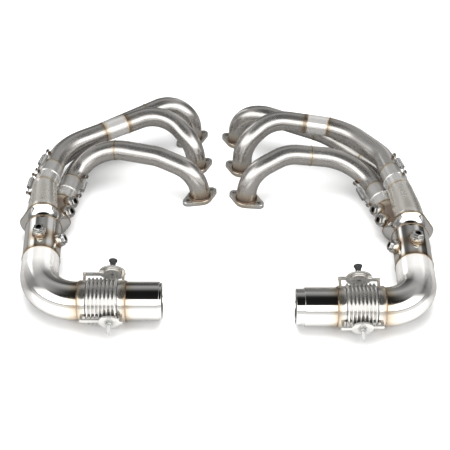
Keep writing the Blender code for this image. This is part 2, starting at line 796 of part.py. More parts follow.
def spring_loop(centre, along, out):
    """An open loop round a tab square to it, from its free end to the coil's side."""
    along = (along - out * along.dot(out)).normalized()
    aside = along.cross(out)
    turns = [math.radians(320 - 48 * i) for i in range(7)]
    return [
        centre + along * (LOOP_LENGTH * math.cos(turn)) + aside * (LOOP_WIDTH * math.sin(turn))
        for turn in turns
    ]


def tension_spring(side, bank, place):
    """A close-wound spring with a loop round each of its two tabs."""
    (foot, out, _), (far_foot, far_out, _) = tab_spots(bank, place)
    low, high = foot + out * LOOP_H, far_foot + far_out * LOOP_H
    along = (high - low).normalized()
    length = (high - low).length
    lift = (far_out - along * along.dot(far_out)).normalized()
    aside = along.cross(lift)
    points = spring_loop(low, along, out)
    steps = COIL_TURNS * 6
    first, last = COIL_FROM * length, COIL_TO * length
    for i in range(steps + 1):
        angle = math.tau * i / 6
        spot = low + along * (first + (last - first) * i / steps)
        points.append(spot + (aside * math.cos(angle) + lift * math.sin(angle)) * COIL_R)
    points += spring_loop(high, -along, far_out)[::-1]
    wire = [(point, WIRE_R) for point in points]
    return swept_solid(f"{side}_{place}_spring", wire, ZINC, 4)


def build_bank(side, bank):
    for place in ("rear", "middle", "front"):
        plate = flange(f"{side}_{place}_flange", flange_centre(bank, place), bank["flange_angle"])
        tube = primary(side, bank, place)
        for item in (plate, tube):
            set_origin(item, bank["cups"][place])
        tension_spring(side, bank, place)
    merge_collector(side, bank)
    cone(side, bank)
    collector_body(side, bank)
    elbow(side, bank)
    for label, (where, _, _) in bank["bungs"].items():
        frame = bung_frame(bank, label)
        radius = PIPE_R if where == "body" else BRANCH_R
        bung(f"{side}_{label}_bung", frame, radius)
        plug(f"{side}_{label}_plug", frame)
    collar(side, bank, "inlet")
    pin, _ = pin_line(bank)
    for item in (collar(side, bank, "outlet"), outlet_pipe(side, bank)):
        set_origin(item, pin)
    bellows(side, bank)
    outlet_sleeve(side, bank)
    hinge_pins(side, bank)


clear_scene()
for side, bank in BANKS.items():
    build_bank(side, bank)
for item in bpy.data.objects:
    item.location += ORIGIN_SHIFT
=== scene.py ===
"""Looks of the racing exhaust: two header banks lying on a pale studio floor.

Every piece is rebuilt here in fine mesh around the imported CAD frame: drawn tubes
with weld beads and heat tint, polished collectors, bellows, hinges and springs.
"""

import json
import math

import bmesh
import bpy
from mathutils import Matrix, Vector

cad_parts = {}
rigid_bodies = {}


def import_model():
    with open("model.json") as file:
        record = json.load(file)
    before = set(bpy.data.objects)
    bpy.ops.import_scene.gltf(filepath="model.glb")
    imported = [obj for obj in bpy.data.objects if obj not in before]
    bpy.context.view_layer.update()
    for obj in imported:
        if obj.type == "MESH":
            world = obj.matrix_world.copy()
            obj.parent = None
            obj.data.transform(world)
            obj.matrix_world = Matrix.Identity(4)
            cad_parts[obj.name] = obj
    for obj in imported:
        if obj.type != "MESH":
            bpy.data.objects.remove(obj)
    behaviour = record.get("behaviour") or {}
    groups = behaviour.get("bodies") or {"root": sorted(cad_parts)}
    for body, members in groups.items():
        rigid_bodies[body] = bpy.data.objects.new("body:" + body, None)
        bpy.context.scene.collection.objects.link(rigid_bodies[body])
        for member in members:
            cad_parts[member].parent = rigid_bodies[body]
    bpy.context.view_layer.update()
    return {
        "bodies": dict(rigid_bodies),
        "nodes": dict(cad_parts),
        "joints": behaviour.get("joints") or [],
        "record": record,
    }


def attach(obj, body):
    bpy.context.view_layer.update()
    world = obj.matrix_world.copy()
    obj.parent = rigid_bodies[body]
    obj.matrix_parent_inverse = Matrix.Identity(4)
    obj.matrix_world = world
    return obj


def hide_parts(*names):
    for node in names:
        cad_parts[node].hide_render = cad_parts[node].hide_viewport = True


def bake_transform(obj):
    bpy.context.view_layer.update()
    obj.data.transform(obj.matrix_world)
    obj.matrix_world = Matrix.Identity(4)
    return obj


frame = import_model()

# ------------------------------------------------------------------ dimensions
SHIFT = Vector((0.0001, 0.01565, 0.0))   # the banks are laid out about this point
BORE_SPACING = 0.118
TUBE_R, TUBE_WALL = 0.02222, 0.0020
INSERT_DEPTH = 0.026
FLANGE_T, FLANGE_HALF, FLANGE_EAR_R = 0.010, 0.0445, 0.0110
FLANGE_STUD, FLANGE_HOLE_R, FLANGE_HUB_R = 0.0330, 0.0045, 0.0270
CUP_R, CUP_LENGTH, KNEE, CUP_LIP_R, CUP_LIP = 0.0254, 0.029, 0.034, 0.0266, 0.0035
SLIP_LENGTH = 0.036   # smooth end of a primary outside its cup
BRANCH_R, MERGE_RADIUS, MERGE_BEND = 0.0243, 0.0250, 0.050
PIPE_R, PIPE_WALL = 0.0381, 0.0018
RING_TILT, CONE_LENGTH, CONE_WALL, AXIS_Z = 0.32, 0.036, 0.0022, 0.0463
CONE_LOBE_R, TOP_BRANCH_R = 0.0312, 0.0296
COLLAR_R, COLLAR_LENGTH, COLLAR_BORE_R = 0.0405, 0.0150, 0.0385
CREST_R, TROUGH_R, WAVES = 0.0460, 0.0400, 8
SLEEVE_R, SLEEVE_WALL, SLEEVE_INSIDE = 0.0357, 0.0020, 0.045
PIN_TILT, PIN_LIFT, PIN_R = math.radians(18.0), 0.0080, 0.0036
EAR_T, FRONT_EAR_R, REAR_EAR_R, INNER_EAR_R = 0.0030, 0.0210, 0.0265, 0.0180
STRAP_HALF, FOOT_T, FRONT_EAR, REAR_EAR = 0.0048, 0.0050, 0.0524, 0.0560
BUNG_R, BUNG_BORE_R, BUNG_HEIGHT = 0.0140, 0.0090, 0.0100
PLUG_R, PLUG_HEAD, SOCKET_R, SOCKET_DEPTH = 0.0115, 0.0060, 0.0060, 0.0042
HEX_POINTS, HOOP_POINTS, FILLET_POINTS = 48, 300, 240
WIRE_R, COIL_R, COIL_TURNS, COIL_FROM, COIL_TO = 0.0011, 0.0052, 11, 0.24, 0.74
LOOP_LENGTH, LOOP_WIDTH, LOOP_H = 0.0048, 0.0036, 0.0075
TAB_H, TAB_T, TAB_AHEAD = 0.0100, 0.0022, 0.008
GAP = 0.0003
UP = Vector((0, 0, 1))
PLACES = ("rear", "middle", "front")

BANKS = {
    "left": {
        "flange_line": Vector((-0.0953, 0.9955, 0.0)),
        "flange_front": Vector((-0.0565, 0.0970, 0.0)),
        "flange_angle": math.radians(37.5),
        "ring": Vector((-0.3838, -0.0380, AXIS_Z)),
        "corner": Vector((-0.3645, -0.2990, AXIS_Z)),
        "elbow": 0.0840,
        "stub": 0.0460,
        "inward": 1.0,
        "cups": {
            "rear": Vector((-0.4000, 0.0480, 0.0450)),
            "middle": Vector((-0.3810, 0.0490, 0.0930)),
            "front": Vector((-0.3470, 0.0540, 0.0475)),
        },
        "lobes": {"rear": 210.0, "middle": 90.0, "front": 330.0},
        "routes": {
            "rear": [
                ((-0.0785, 0.3320, 0.0635), 0.062),
                ((-0.1270, 0.3345, 0.1050), 0.063),
                ((-0.3200, 0.2345, 0.0690), 0.120),
                ((-0.3970, 0.1550, 0.0525), 0.081),
            ],
            "middle": [
                ((-0.0675, 0.2145, 0.0615), 0.067),
                ((-0.1420, 0.2815, 0.1175), 0.079),
                ((-0.2615, 0.2165, 0.1060), 0.120),
                ((-0.3635, 0.1520, 0.1015), 0.121),
            ],
            "front": [
                ((-0.0565, 0.0970, 0.0670), 0.068),
                ((-0.1490, 0.1280, 0.0935), 0.085),
                ((-0.2755, 0.1580, 0.0990), 0.102),
                ((-0.3340, 0.1190, 0.0580), 0.056),
            ],
        },
        "tabs": {"rear": (155.0, 0.056), "middle": (130.0, 0.056), "front": (8.0, 0.056)},
        "bungs": {
            "merge_rear": ("front", 0.008, 58.0),
            "merge_front": ("front", 0.038, 58.0),
            "body_top": ("body", 0.059, -2.0),
            "body_side": ("body", 0.060, 66.0),
        },
        "outlet": (-0.1920, 0.0610, 0.0650),
        "sleeve_out": 0.005,
        "pin_shift": 0.016,
    },
    "right": {
        "flange_line": Vector((-0.0714, 0.9974, 0.0)),
        "flange_front": Vector((0.0480, 0.0870, 0.0)),
        "flange_angle": math.radians(144.5),
        "ring": Vector((0.3870, -0.0660, AXIS_Z)),
        "corner": Vector((0.3765, -0.3160, AXIS_Z)),
        "elbow": 0.0705,
        "stub": 0.0500,
        "inward": -1.0,
        "cups": {
            "rear": Vector((0.3900, 0.0260, 0.0440)),
            "middle": Vector((0.3660, 0.0336, 0.0940)),
            "front": Vector((0.3390, 0.0285, 0.0485)),
        },
        "lobes": {"rear": 330.0, "middle": 90.0, "front": 210.0},
        "routes": {
            "rear": [
                ((0.0312, 0.3224, 0.0725), 0.056),
                ((0.0860, 0.3060, 0.0915), 0.072),
                ((0.2390, 0.2625, 0.0630), 0.123),
                ((0.3775, 0.1075, 0.0475), 0.090),
            ],
            "middle": [
                ((0.0396, 0.2047, 0.0720), 0.068),
                ((0.1060, 0.2455, 0.1170), 0.083),
                ((0.2700, 0.2220, 0.1050), 0.126),
                ((0.3475, 0.1200, 0.1000), 0.085),
            ],
            "front": [
                ((0.0480, 0.0870, 0.0715), 0.068),
                ((0.1375, 0.1290, 0.0995), 0.085),
                ((0.2605, 0.1360, 0.0825), 0.122),
                ((0.3215, 0.0950, 0.0560), 0.088),
            ],
        },
        "tabs": {"rear": (300.0, 0.056), "middle": (60.0, 0.056), "front": (185.0, 0.079)},
        "bungs": {
            "merge_rear": ("front", 0.006, -66.0),
            "merge_front": ("front", 0.036, -66.0),
            "body_top": ("body", 0.051, 7.0),
            "body_side": ("body", 0.052, -66.0),
        },
        "outlet": (0.2165, 0.0603, 0.0633),
        "sleeve_out": 0.017,
        "pin_shift": 0.0,
    },
}


# ------------------------------------------------------------------- materials
# grain of the surface: noise scale along and across a piece
DRAWN, CAST, SPUN = (6.0, 260.0), (200.0, 200.0), (300.0, 300.0)
STUB_FADE = (0.036, 0.088)   # the elbow turns from brushed to polished along this stretch


def node(tree, kind, **values):
    made = tree.nodes.new(kind)
    for key, value in values.items():
        if key.startswith("in_"):
            made.inputs[int(key[3:])].default_value = value
        else:
            setattr(made, key, value)
    return made


def ramp(tree, stops, source):
    made = tree.nodes.new("ShaderNodeValToRGB")
    elements = made.color_ramp.elements
    elements[0].color = (*stops[0][1], 1.0)
    elements[-1].color = (*stops[-1][1], 1.0)
    for spot, colour in stops[1:-1]:
        elements.new(spot).color = (*colour, 1.0)
    tree.links.new(source, made.inputs[0])
    return made.outputs[0]


def noise(tree, vector, scale, stretch=(1, 1, 1), detail=3.0, rough=0.55):
    mapping = node(tree, "ShaderNodeMapping")
    mapping.inputs["Scale"].default_value = stretch
    tree.links.new(vector, mapping.inputs["Vector"])
    made = node(tree, "ShaderNodeTexNoise")
    made.inputs["Scale"].default_value = scale
    made.inputs["Detail"].default_value = detail
    made.inputs["Roughness"].default_value = rough
    tree.links.new(mapping.outputs[0], made.inputs["Vector"])
    return made.outputs[0]


def remap(tree, source, low, high, to_low, to_high):
    made = node(tree, "ShaderNodeMapRange")
    made.inputs["From Min"].default_value = low
    made.inputs["From Max"].default_value = high
    made.inputs["To Min"].default_value = to_low
    made.inputs["To Max"].default_value = to_high
    tree.links.new(source, made.inputs["Value"])
    return made.outputs[0]


def math_node(tree, operation, first, second):
    made = node(tree, "ShaderNodeMath", operation=operation)
    for i, value in enumerate((first, second)):
        if isinstance(value, (int, float)):
            made.inputs[i].default_value = value
        else:
            tree.links.new(value, made.inputs[i])
    return made.outputs[0]


def mix_colour(tree, share, first, second, blend="MIX"):
    made = node(tree, "ShaderNodeMix", data_type="RGBA", blend_type=blend)
    for socket, value in ((0, share), (6, first), (7, second)):
        if isinstance(value, (int, float)):
            made.inputs[socket].default_value = value
        elif isinstance(value, tuple):
            made.inputs[socket].default_value = (*value, 1.0)
        else:
            tree.links.new(value, made.inputs[socket])
    return made.outputs[2]


def new_material(name):
    made = bpy.data.materials.new(name)
    made.use_nodes = True
    return made, made.node_tree, made.node_tree.nodes["Principled BSDF"]


def bumped(tree, shader, source, strength, distance):
    lift = node(tree, "ShaderNodeBump")
    lift.inputs["Strength"].default_value = strength
    lift.inputs["Distance"].default_value = distance
    tree.links.new(source, lift.inputs["Height"])
    tree.links.new(lift.outputs[0], shader.inputs["Normal"])


def steel(name, colour, rough, spread, streaks, blotch, bump, grain=DRAWN, metal=1.0, fade=None):
    """Bare stainless: drawn streaks, handling marks, heat tint and painted socket shade from the mesh.

    metal is how bare the surface is; fade is where along a tube it becomes fully bare.
    """
    made, tree, shader = new_material(name)
    shader.inputs["Metallic"].default_value = metal
    place = node(tree, "ShaderNodeAttribute", attribute_name="tube").outputs["Vector"]
    # heat tint from the welds, and painted shade where it reaches 1 in the plug sockets
    heat = node(tree, "ShaderNodeAttribute", attribute_name="heat_tint_and_shade").outputs["Fac"]
    if fade:
        along = node(tree, "ShaderNodeSeparateXYZ")
        tree.links.new(place, along.inputs[0])
        tree.links.new(remap(tree, along.outputs[0], *fade, metal, 1.0), shader.inputs["Metallic"])
    body = noise(tree, place, 22.0, (1, 1, 1), 4.0)
    fine = noise(tree, place, 1.0, (grain[0], grain[1], grain[1]), 3.0, 0.7)
    smear = noise(tree, place, 60.0, (0.35, 1, 1), 3.0, 0.6)
    shade = mix_colour(tree, remap(tree, body, 0.35, 0.7, 0.0, blotch * 2), tuple(colour),
                       tuple(c * 0.72 for c in colour))
    shade = mix_colour(tree, remap(tree, fine, 0.3, 0.7, 0.0, streaks), shade,
                       tuple(c * 0.80 for c in colour))
    wander = remap(tree, smear, 0.3, 0.7, -0.10, 0.10)
    level = math_node(tree, "ADD", heat, math_node(tree, "MULTIPLY", wander, heat))
    tint = ramp(tree, [
        (0.0, (1.0, 1.0, 1.0)), (0.18, (0.95, 0.91, 0.83)), (0.36, (0.78, 0.67, 0.54)),
        (0.55, (0.48, 0.385, 0.315)), (0.72, (0.31, 0.25, 0.225)), (0.86, (0.21, 0.185, 0.18)),
        (1.0, (0.07, 0.065, 0.06)),
    ], level)
    shade = mix_colour(tree, 1.0, shade, tint, "MULTIPLY")
    tree.links.new(shade, shader.inputs["Base Color"])
    base = remap(tree, smear, 0.3, 0.72, rough - spread, rough + spread)
    dull = math_node(tree, "ADD", base, math_node(tree, "MULTIPLY", heat, 0.12))
    tree.links.new(dull, shader.inputs["Roughness"])
    bumped(tree, shader, fine, bump, 0.0005)
    return made


def moulded(name, colour, rough):
    made, tree, shader = new_material(name)
    place = node(tree, "ShaderNodeAttribute", attribute_name="tube").outputs["Vector"]
    speck = noise(tree, place, 900.0, (1, 1, 1), 3.0)
    shade = mix_colour(tree, speck, tuple(colour), tuple(min(1.0, c * 2.2 + 0.01) for c in colour))
    tree.links.new(shade, shader.inputs["Base Color"])
    tree.links.new(remap(tree, speck, 0.3, 0.7, rough - 0.1, rough + 0.1), shader.inputs["Roughness"])
    bumped(tree, shader, speck, 0.15, 0.0004)
    return made


SATIN = steel("satin_tube", (0.60, 0.58, 0.555), 0.25, 0.06, 0.26, 0.12, 0.05, metal=0.94)
SLIP = steel("slip_tube", (0.70, 0.69, 0.67), 0.34, 0.06, 0.25, 0.08, 0.05, metal=0.88)
INSERT = steel("insert_tube", (0.80, 0.79, 0.77), 0.24, 0.05, 0.12, 0.05, 0.03, metal=0.72)
POLISHED = steel("polished_steel", (0.80, 0.79, 0.77), 0.055, 0.025, 0.04, 0.05, 0.008)
CREAM = steel("brushed_elbow", (0.90, 0.885, 0.86), 0.10, 0.03, 0.04, 0.03, 0.008, DRAWN, 0.52, STUB_FADE)
BRANCH = steel("branch_steel", (0.80, 0.79, 0.77), 0.27, 0.05, 0.15, 0.08, 0.03, metal=0.86)
BRIGHT = steel("bright_steel", (0.70, 0.69, 0.67), 0.17, 0.05, 0.15, 0.08, 0.02, CAST, 0.95)
EAR = steel("ear_steel", (0.78, 0.775, 0.76), 0.22, 0.05, 0.10, 0.08, 0.02, CAST, 0.80)
CREST = steel("bellows_steel", (0.80, 0.79, 0.77), 0.15, 0.04, 0.1, 0.08, 0.01, metal=0.97)
ZINC = steel("zinc_steel", (0.56, 0.56, 0.55), 0.20, 0.06, 0.15, 0.15, 0.03, SPUN)
WELD = steel("weld_bead", (0.60, 0.54, 0.47), 0.24, 0.08, 0.3, 0.25, 0.06, SPUN)
RUBBER = moulded("cap_rubber", (0.010, 0.010, 0.011), 0.55)


# ------------------------------------------------------------------ mesh tools
class Shape:
    """A mesh under construction, with two values by vertex for the materials.

    tube is the place along and across the piece. heat_tint_and_shade is the heat tint, 0 to 1
    (the renderer keeps the name heat for smoke); at 1 it is also the painted shade in the plug sockets.
    """

    def __init__(self):
        self.bm = bmesh.new()
        self.tube = self.bm.verts.layers.float_vector.new("tube")
        self.heat = self.bm.verts.layers.float.new("heat_tint_and_shade")

    def vert(self, point, tube=None, heat=0.0):
        made = self.bm.verts.new(point)
        made[self.tube] = tube if tube is not None else point
        made[self.heat] = heat
        return made

    def bridge(self, rings, closed=False):
        count = len(rings)
        for i in range(count if closed else count - 1):
            low, high = rings[i], rings[(i + 1) % count]
            for j in range(len(low)):
                k = (j + 1) % len(low)
                self.bm.faces.new((low[j], low[k], high[k], high[j]))

    def close(self, rings):
        """Bridges the rings and fills both ends."""
        self.bridge(rings)
        self.bm.faces.new(rings[0][::-1])
        self.bm.faces.new(rings[-1])

    def done(self, name, mat, body, replaces=(), sharp=32.0):
        """Makes the object, riding on its body and hiding the CAD nodes it replaces."""
        bmesh.ops.recalc_face_normals(self.bm, faces=self.bm.faces)
        mesh = bpy.data.meshes.new(name)
        self.bm.to_mesh(mesh)
        self.bm.free()
        mesh.transform(Matrix.Translation(SHIFT))
        mesh.shade_smooth()
        mesh.set_sharp_from_angle(angle=math.radians(sharp))
        mesh.materials.append(mat)
        made = bpy.data.objects.new(name, mesh)
        bpy.context.scene.collection.objects.link(made)
        if body:
            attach(made, body)
        if replaces:
            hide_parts(*replaces)
        return made


def axis_matrix(origin, direction, hint=UP):
    """A frame at origin whose Z runs along direction and X lies near hint."""
    z = Vector(direction).normalized()
    x = Vector(hint) - z * z.dot(Vector(hint))
    if x.length < 1e-4:
        x = Vector((1, 0, 0)) - z * z.x
    x.normalize()
    made = Matrix((x, z.cross(x), z)).transposed().to_4x4()
    made.translation = Vector(origin)
    return made


def ring_of(shape, frame, radius, height, sides, heat=0.0, along=None):
    spot = height if along is None else along
    ring = []
    for i in range(sides):
        turn = math.tau * i / sides
        x, y = radius * math.cos(turn), radius * math.sin(turn)
        ring.append(shape.vert(frame @ Vector((x, y, height)), Vector((spot, x, y)), heat))
    return ring


def turned(shape, profile, frame, sides=64, closed=True, heat=None):
    """Adds a turned piece: profile is (radius, height) along the frame's Z."""
    rings = [
        ring_of(shape, frame, radius, height, sides, heat(height) if heat else 0.0)
        for radius, height in profile
    ]
    if closed:
        shape.bridge(rings, True)
    else:
        shape.close(rings)


def lathe(name, profile, frame, mat, body, sides=64, closed=True, replaces=(), heat=None, sharp=32.0):
    shape = Shape()
    turned(shape, profile, frame, sides, closed, heat)
    return shape.done(name, mat, body, replaces, sharp)


def route_points(corners, arc_step=math.radians(4.0)):
    """Points of a line with rounded corners: corners is [(point, radius), ...]."""
    points = [Vector(corners[0][0])]
    for i in range(1, len(corners) - 1):
        here, radius = Vector(corners[i][0]), corners[i][1]
        back = (Vector(corners[i - 1][0]) - here).normalized()
        ahead = (Vector(corners[i + 1][0]) - here).normalized()
        half = back.angle(ahead) / 2
        reach = radius / math.tan(half)
        centre = here + (back + ahead).normalized() * (radius / math.sin(half))
        turn = math.pi - 2 * half
        steps = max(2, round(turn / arc_step))
        spoke = (here + back * reach - centre).normalized()
        for j in range(steps + 1):
            angle = turn * j / steps
            points.append(centre + (spoke * math.cos(angle) - back * math.sin(angle)) * radius)
    points.append(Vector(corners[-1][0]))
    return points


def with_steps(points, step=0.006):
    """The same line with long straights cut into short pieces."""
    made = [points[0]]
    for start, end in zip(points, points[1:]):
        count = max(1, round((end - start).length / step))
        made += [start.lerp(end, i / count) for i in range(1, count + 1)]
    return made


def sweep_frames(points, hint):
    steps = [(b - a).normalized() for a, b in zip(points, points[1:])]
    tangents = [steps[0]] + [(a + b).normalized() for a, b in zip(steps, steps[1:])] + [steps[-1]]
    frames = [axis_matrix(points[0], tangents[0], hint)]
    for i in range(1, len(points)):
        swing = tangents[i - 1].rotation_difference(tangents[i]).to_matrix()
        turned_frame = (swing @ frames[-1].to_3x3()).to_4x4()
        turned_frame.translation = points[i]
        frames.append(turned_frame)
    return frames


def lengths(points):
    total, made = 0.0, [0.0]
    for a, b in zip(points, points[1:]):
        total += (b - a).length
        made.append(total)
    return made


def pick(stations, s):
    """Value at s on a list of (s, value), straight between them."""
    if s <= stations[0][0]:
        return stations[0][1]
    for (a, low), (b, high) in zip(stations, stations[1:]):
        if s <= b:
            return low + (high - low) * (s - a) / max(b - a, 1e-9)
    return stations[-1][1]


def tube(shape, points, radius, wall, sides=56, hint=Vector((0, 1, 0)), *, heat, last=None):
    """Adds a swept tube; radius is a number or (s, radius) stations."""
    frames, spots = sweep_frames(points, hint), lengths(points)
    shells = []
    for inset in (0.0, wall):
        rings = []
        for frame, s in zip(frames, spots):
            size = (pick(radius, s) if isinstance(radius, list) else radius) - inset
            rings.append(ring_of(shape, frame, size, 0.0, sides, heat(s), s))
        shells.append(rings)
    if last:
        for rings in shells:
            for vert in rings[-1]:
                vert.co = last(vert.co)
    shape.bridge(shells[0] + shells[1][::-1], True)
    return frames, spots


def bar(shape, points, radius, sides):
    """Adds a solid round bar along points."""
    frames, spots = sweep_frames(points, UP), lengths(points)
    shape.close([ring_of(shape, f, radius, 0.0, sides, 0.0, s) for f, s in zip(frames, spots)])


def bead(shape, path, size, pitch=0.0016, heat=0.35, sides=8):
    """Adds a closed weld bead along a loop of (point, outward normal)."""
    count = len(path)
    spots = lengths([point for point, _ in path] + [path[0][0]])
    around = max(6, round(spots[-1] / pitch))
    rings = []
    for i, (point, out) in enumerate(path):
        along = (path[(i + 1) % count][0] - path[i - 1][0]).normalized()
        side = along.cross(out).normalized()
        phase = (spots[i] / spots[-1] * around) % 1.0
        swell = 1.0 + 0.16 * math.sin(math.pi * phase) - 0.08
        ring = []
        for j in range(sides):
            turn = math.tau * j / sides
            spot = point + (side * math.cos(turn) * 1.25 + out * math.sin(turn) * 0.8) * size * swell
            ring.append(shape.vert(spot, spot, heat))
        rings.append(ring)
    shape.bridge(rings, True)


def hoop(shape, frame, radius, size, heat=0.35, pitch=0.0016):
    """Adds a weld bead once round a tube."""
    path = []
    for i in range(HOOP_POINTS):
        turn = math.tau * i / HOOP_POINTS
        out = Vector((math.cos(turn), math.sin(turn), 0))
        path.append((frame @ (out * radius), frame.to_3x3() @ out))
    bead(shape, path, size, pitch, heat)


def near(s, spots, reach, peak):
    """Heat at s from welds at the spots."""
    return max([peak * max(0.0, 1.0 - abs(s - spot) / reach) ** 1.3 for spot in spots] + [0.0])


# -------------------------------------------------------------------- geometry
def flange_centre(bank, place):
    number = ("front", "middle", "rear").index(place)
    return bank["flange_front"] + bank["flange_line"] * (BORE_SPACING * number)


def cup_axis(bank, place):
    lip = bank["cups"][place]
    return lip, (lip - Vector(bank["routes"][place][-1][0])).normalized()


def branch_ends(bank, place):
    lip, into = cup_axis(bank, place)
    forward = (bank["corner"] - bank["ring"]).normalized()
    aside = UP.cross(forward)
    turn = math.radians(bank["lobes"][place])
    offset = (aside * math.cos(turn) + UP * math.sin(turn)) * MERGE_RADIUS
    return lip + into * KNEE, bank["ring"] + offset


def radial(frame, degrees):
    z = (frame.to_3x3() @ UP).normalized()
    up = (UP - z * z.dot(UP)).normalized()
    right = Vector((1, 0, 0))
    right = (right - z * z.dot(right) - up * up.dot(right)).normalized()
    turn = math.radians(degrees)
    return up * math.cos(turn) + right * math.sin(turn)


def primary_corners(bank, place):
    lip, into = cup_axis(bank, place)
    corners = [(Vector(point), radius) for point, radius in bank["routes"][place]]
    foot = corners[0][0].copy()
    foot.z = FLANGE_T + GAP
    return [(foot, 0), *corners, (lip + into * INSERT_DEPTH, 0)]


def tab_spots(bank, place):
    lip, into = cup_axis(bank, place)
    wanted = radial(axis_matrix(Vector((0, 0, 0)), into), 90.0 - bank["tabs"][place][0])
    ahead = (lip + into * TAB_AHEAD + wanted * CUP_R, wanted, into)
    left = INSERT_DEPTH + bank["tabs"][place][1]
    points = route_points(primary_corners(bank, place), math.radians(20.0))[::-1]
    for near_point, far_point in zip(points, points[1:]):
        step = (near_point - far_point).length
        if left <= step:
            along = (near_point - far_point).normalized()
            out = (wanted - along * along.dot(wanted)).normalized()
            return (near_point - along * left + out * TUBE_R, out, along), ahead
        left -= step


def body_start(bank):
    forward = (bank["corner"] - bank["ring"]).normalized()
    return bank["ring"] + forward * CONE_LENGTH, forward


def elbow_reach(bank):
    _, forward = body_start(bank)
    inward = Vector((bank["inward"], 0, 0))
    return bank["elbow"] * math.tan(forward.angle(inward) / 2)


def leg_stations(bank):
    inward = bank["inward"]
    start, bellows, pipe = bank["outlet"]
    stations = {"pipe_start": start, "outlet_collar": start - inward * COLLAR_LENGTH}
    stations["bellows"] = stations["outlet_collar"] - inward * bellows
    stations["inlet_collar"] = stations["bellows"] - inward * COLLAR_LENGTH
    stations["pipe_end"] = start + inward * pipe
    return stations


def leg_frame(bank, x):
    return axis_matrix(Vector((x, bank["corner"].y, AXIS_Z)), Vector((bank["inward"], 0, 0)))


def pin_line(bank):
    stations = leg_stations(bank)
    middle = stations["outlet_collar"] - bank["inward"] * bank["outlet"][1] / 2
    x = middle + bank["inward"] * bank["pin_shift"]
    direction = Vector((0, math.cos(PIN_TILT), math.sin(PIN_TILT)))
    return Vector((x, bank["corner"].y, AXIS_Z + PIN_LIFT)), direction


# ---------------------------------------------------------------------- pieces
def flange_outline(inset=0.0, arc=14):
    """Tangent outline of a hub and two ears, all drawn in by inset."""
    points = []
    reach = FLANGE_HALF - FLANGE_EAR_R
    lean = math.acos((FLANGE_HUB_R - FLANGE_EAR_R) / reach)
    ear, hub = FLANGE_EAR_R - inset, FLANGE_HUB_R - inset
    for side in (0.0, math.pi):
        for i in range(arc + 1):
            turn = side - lean + 2 * lean * i / arc
            points.append((reach * math.cos(side) + ear * math.cos(turn), ear * math.sin(turn)))
        first, last = side + lean, side + math.pi - lean
        for i in range(arc + 1):
            turn = first + (last - first) * i / arc
            points.append((hub * math.cos(turn), hub * math.sin(turn)))
    return points


def flange(side, bank, place):
    """Two-eared plate with chamfered rim, drilled for the port and two studs."""
    name = f"{side}_{place}_flange"
    centre = flange_centre(bank, place)
    base = Matrix.Translation(centre) @ Matrix.Rotation(bank["flange_angle"], 4, "Z")
    shape = Shape()
    rings = []
    for inset, z in ((0.0005, 0), (0, 0.0005), (0, FLANGE_T - 0.0012), (0.0012, FLANGE_T)):
        rings.append([
            shape.vert(base @ Vector((x, y, z)), Vector((x, y, z)), 0.0)
            for x, y in flange_outline(inset)
        ])
    shape.close(rings)
    body = f"{side}_{place}_runner"
    made = shape.done(f"{name}_plate", BRIGHT, None, (), 25.0)
    holes = [(0.0, TUBE_R - TUBE_WALL, 64)]
    holes += [(reach, FLANGE_HOLE_R, 32) for reach in (FLANGE_STUD, -FLANGE_STUD)]
    for reach, radius, sides in holes:
        drill = Shape()
        spot = base @ Matrix.Translation((reach, 0, -0.005))
        turned(drill, [(radius, 0), (radius, 0.02)], spot, sides, False)
        tool = drill.done("drill", BRIGHT, None)
        cut = made.modifiers.new("cut", "BOOLEAN")
        cut.operation, cut.solver, cut.object = "DIFFERENCE", "EXACT", tool
        bpy.context.view_layer.objects.active = made
        bpy.ops.object.modifier_apply(modifier=cut.name)
        bpy.data.objects.remove(tool, do_unlink=True)
    made.data.set_sharp_from_angle(angle=math.radians(25.0))
    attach(made, body)
    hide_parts(name)
    # the plate warms up round its tube
    heat = made.data.attributes["heat_tint_and_shade"].data
    middle = centre + SHIFT
    for vert in made.data.vertices:
        gap = (Vector((vert.co.x, vert.co.y)) - Vector((middle.x, middle.y))).length
        heat[vert.index].value = max(0.0, 0.45 - max(0.0, gap - TUBE_R) / 0.012 * 0.45)
    welds = Shape()
    hoop(welds, Matrix.Translation(centre + UP * (FLANGE_T + 0.0006)), TUBE_R + 0.0008, 0.0017, 0.62)
    welds.done(f"{name}_weld", WELD, body, (), 60.0)


def tab(shape, base, outward, along):
    """A welded post with a head, for a spring's loop."""
    side = along.cross(outward)
    place = Matrix((outward, along, -side)).transposed().to_4x4()
    place.translation = base + side * TAB_T / 2
    half = [
        (-0.0013, 0.0046), (0.0036, 0.0046), (0.0044, 0.0034), (0.0048, 0.0022),
        (TAB_H - 0.0016, 0.0022), (TAB_H - 0.0014, 0.0031), (TAB_H - 0.0008, 0.0034),
        (TAB_H + 0.0008, 0.0034), (TAB_H + 0.0012, 0.0028),
    ]
    outline = [(x, -y) for x, y in half] + half[::-1]
    low = [shape.vert(place @ Vector((x, y, 0)), heat=0.5) for x, y in outline]
    high = [shape.vert(place @ Vector((x, y, TAB_T)), heat=0.5) for x, y in outline]
    shape.close([low, high])


SEAMS = {
    ("left", "rear"): (0.30, 0.62),
    ("left", "middle"): (0.45, 0.56),
    ("left", "front"): (0.55,),
    ("right", "rear"): (0.42, 0.66),
    ("right", "middle"): (0.40, 0.505),
    ("right", "front"): (0.455,),
}


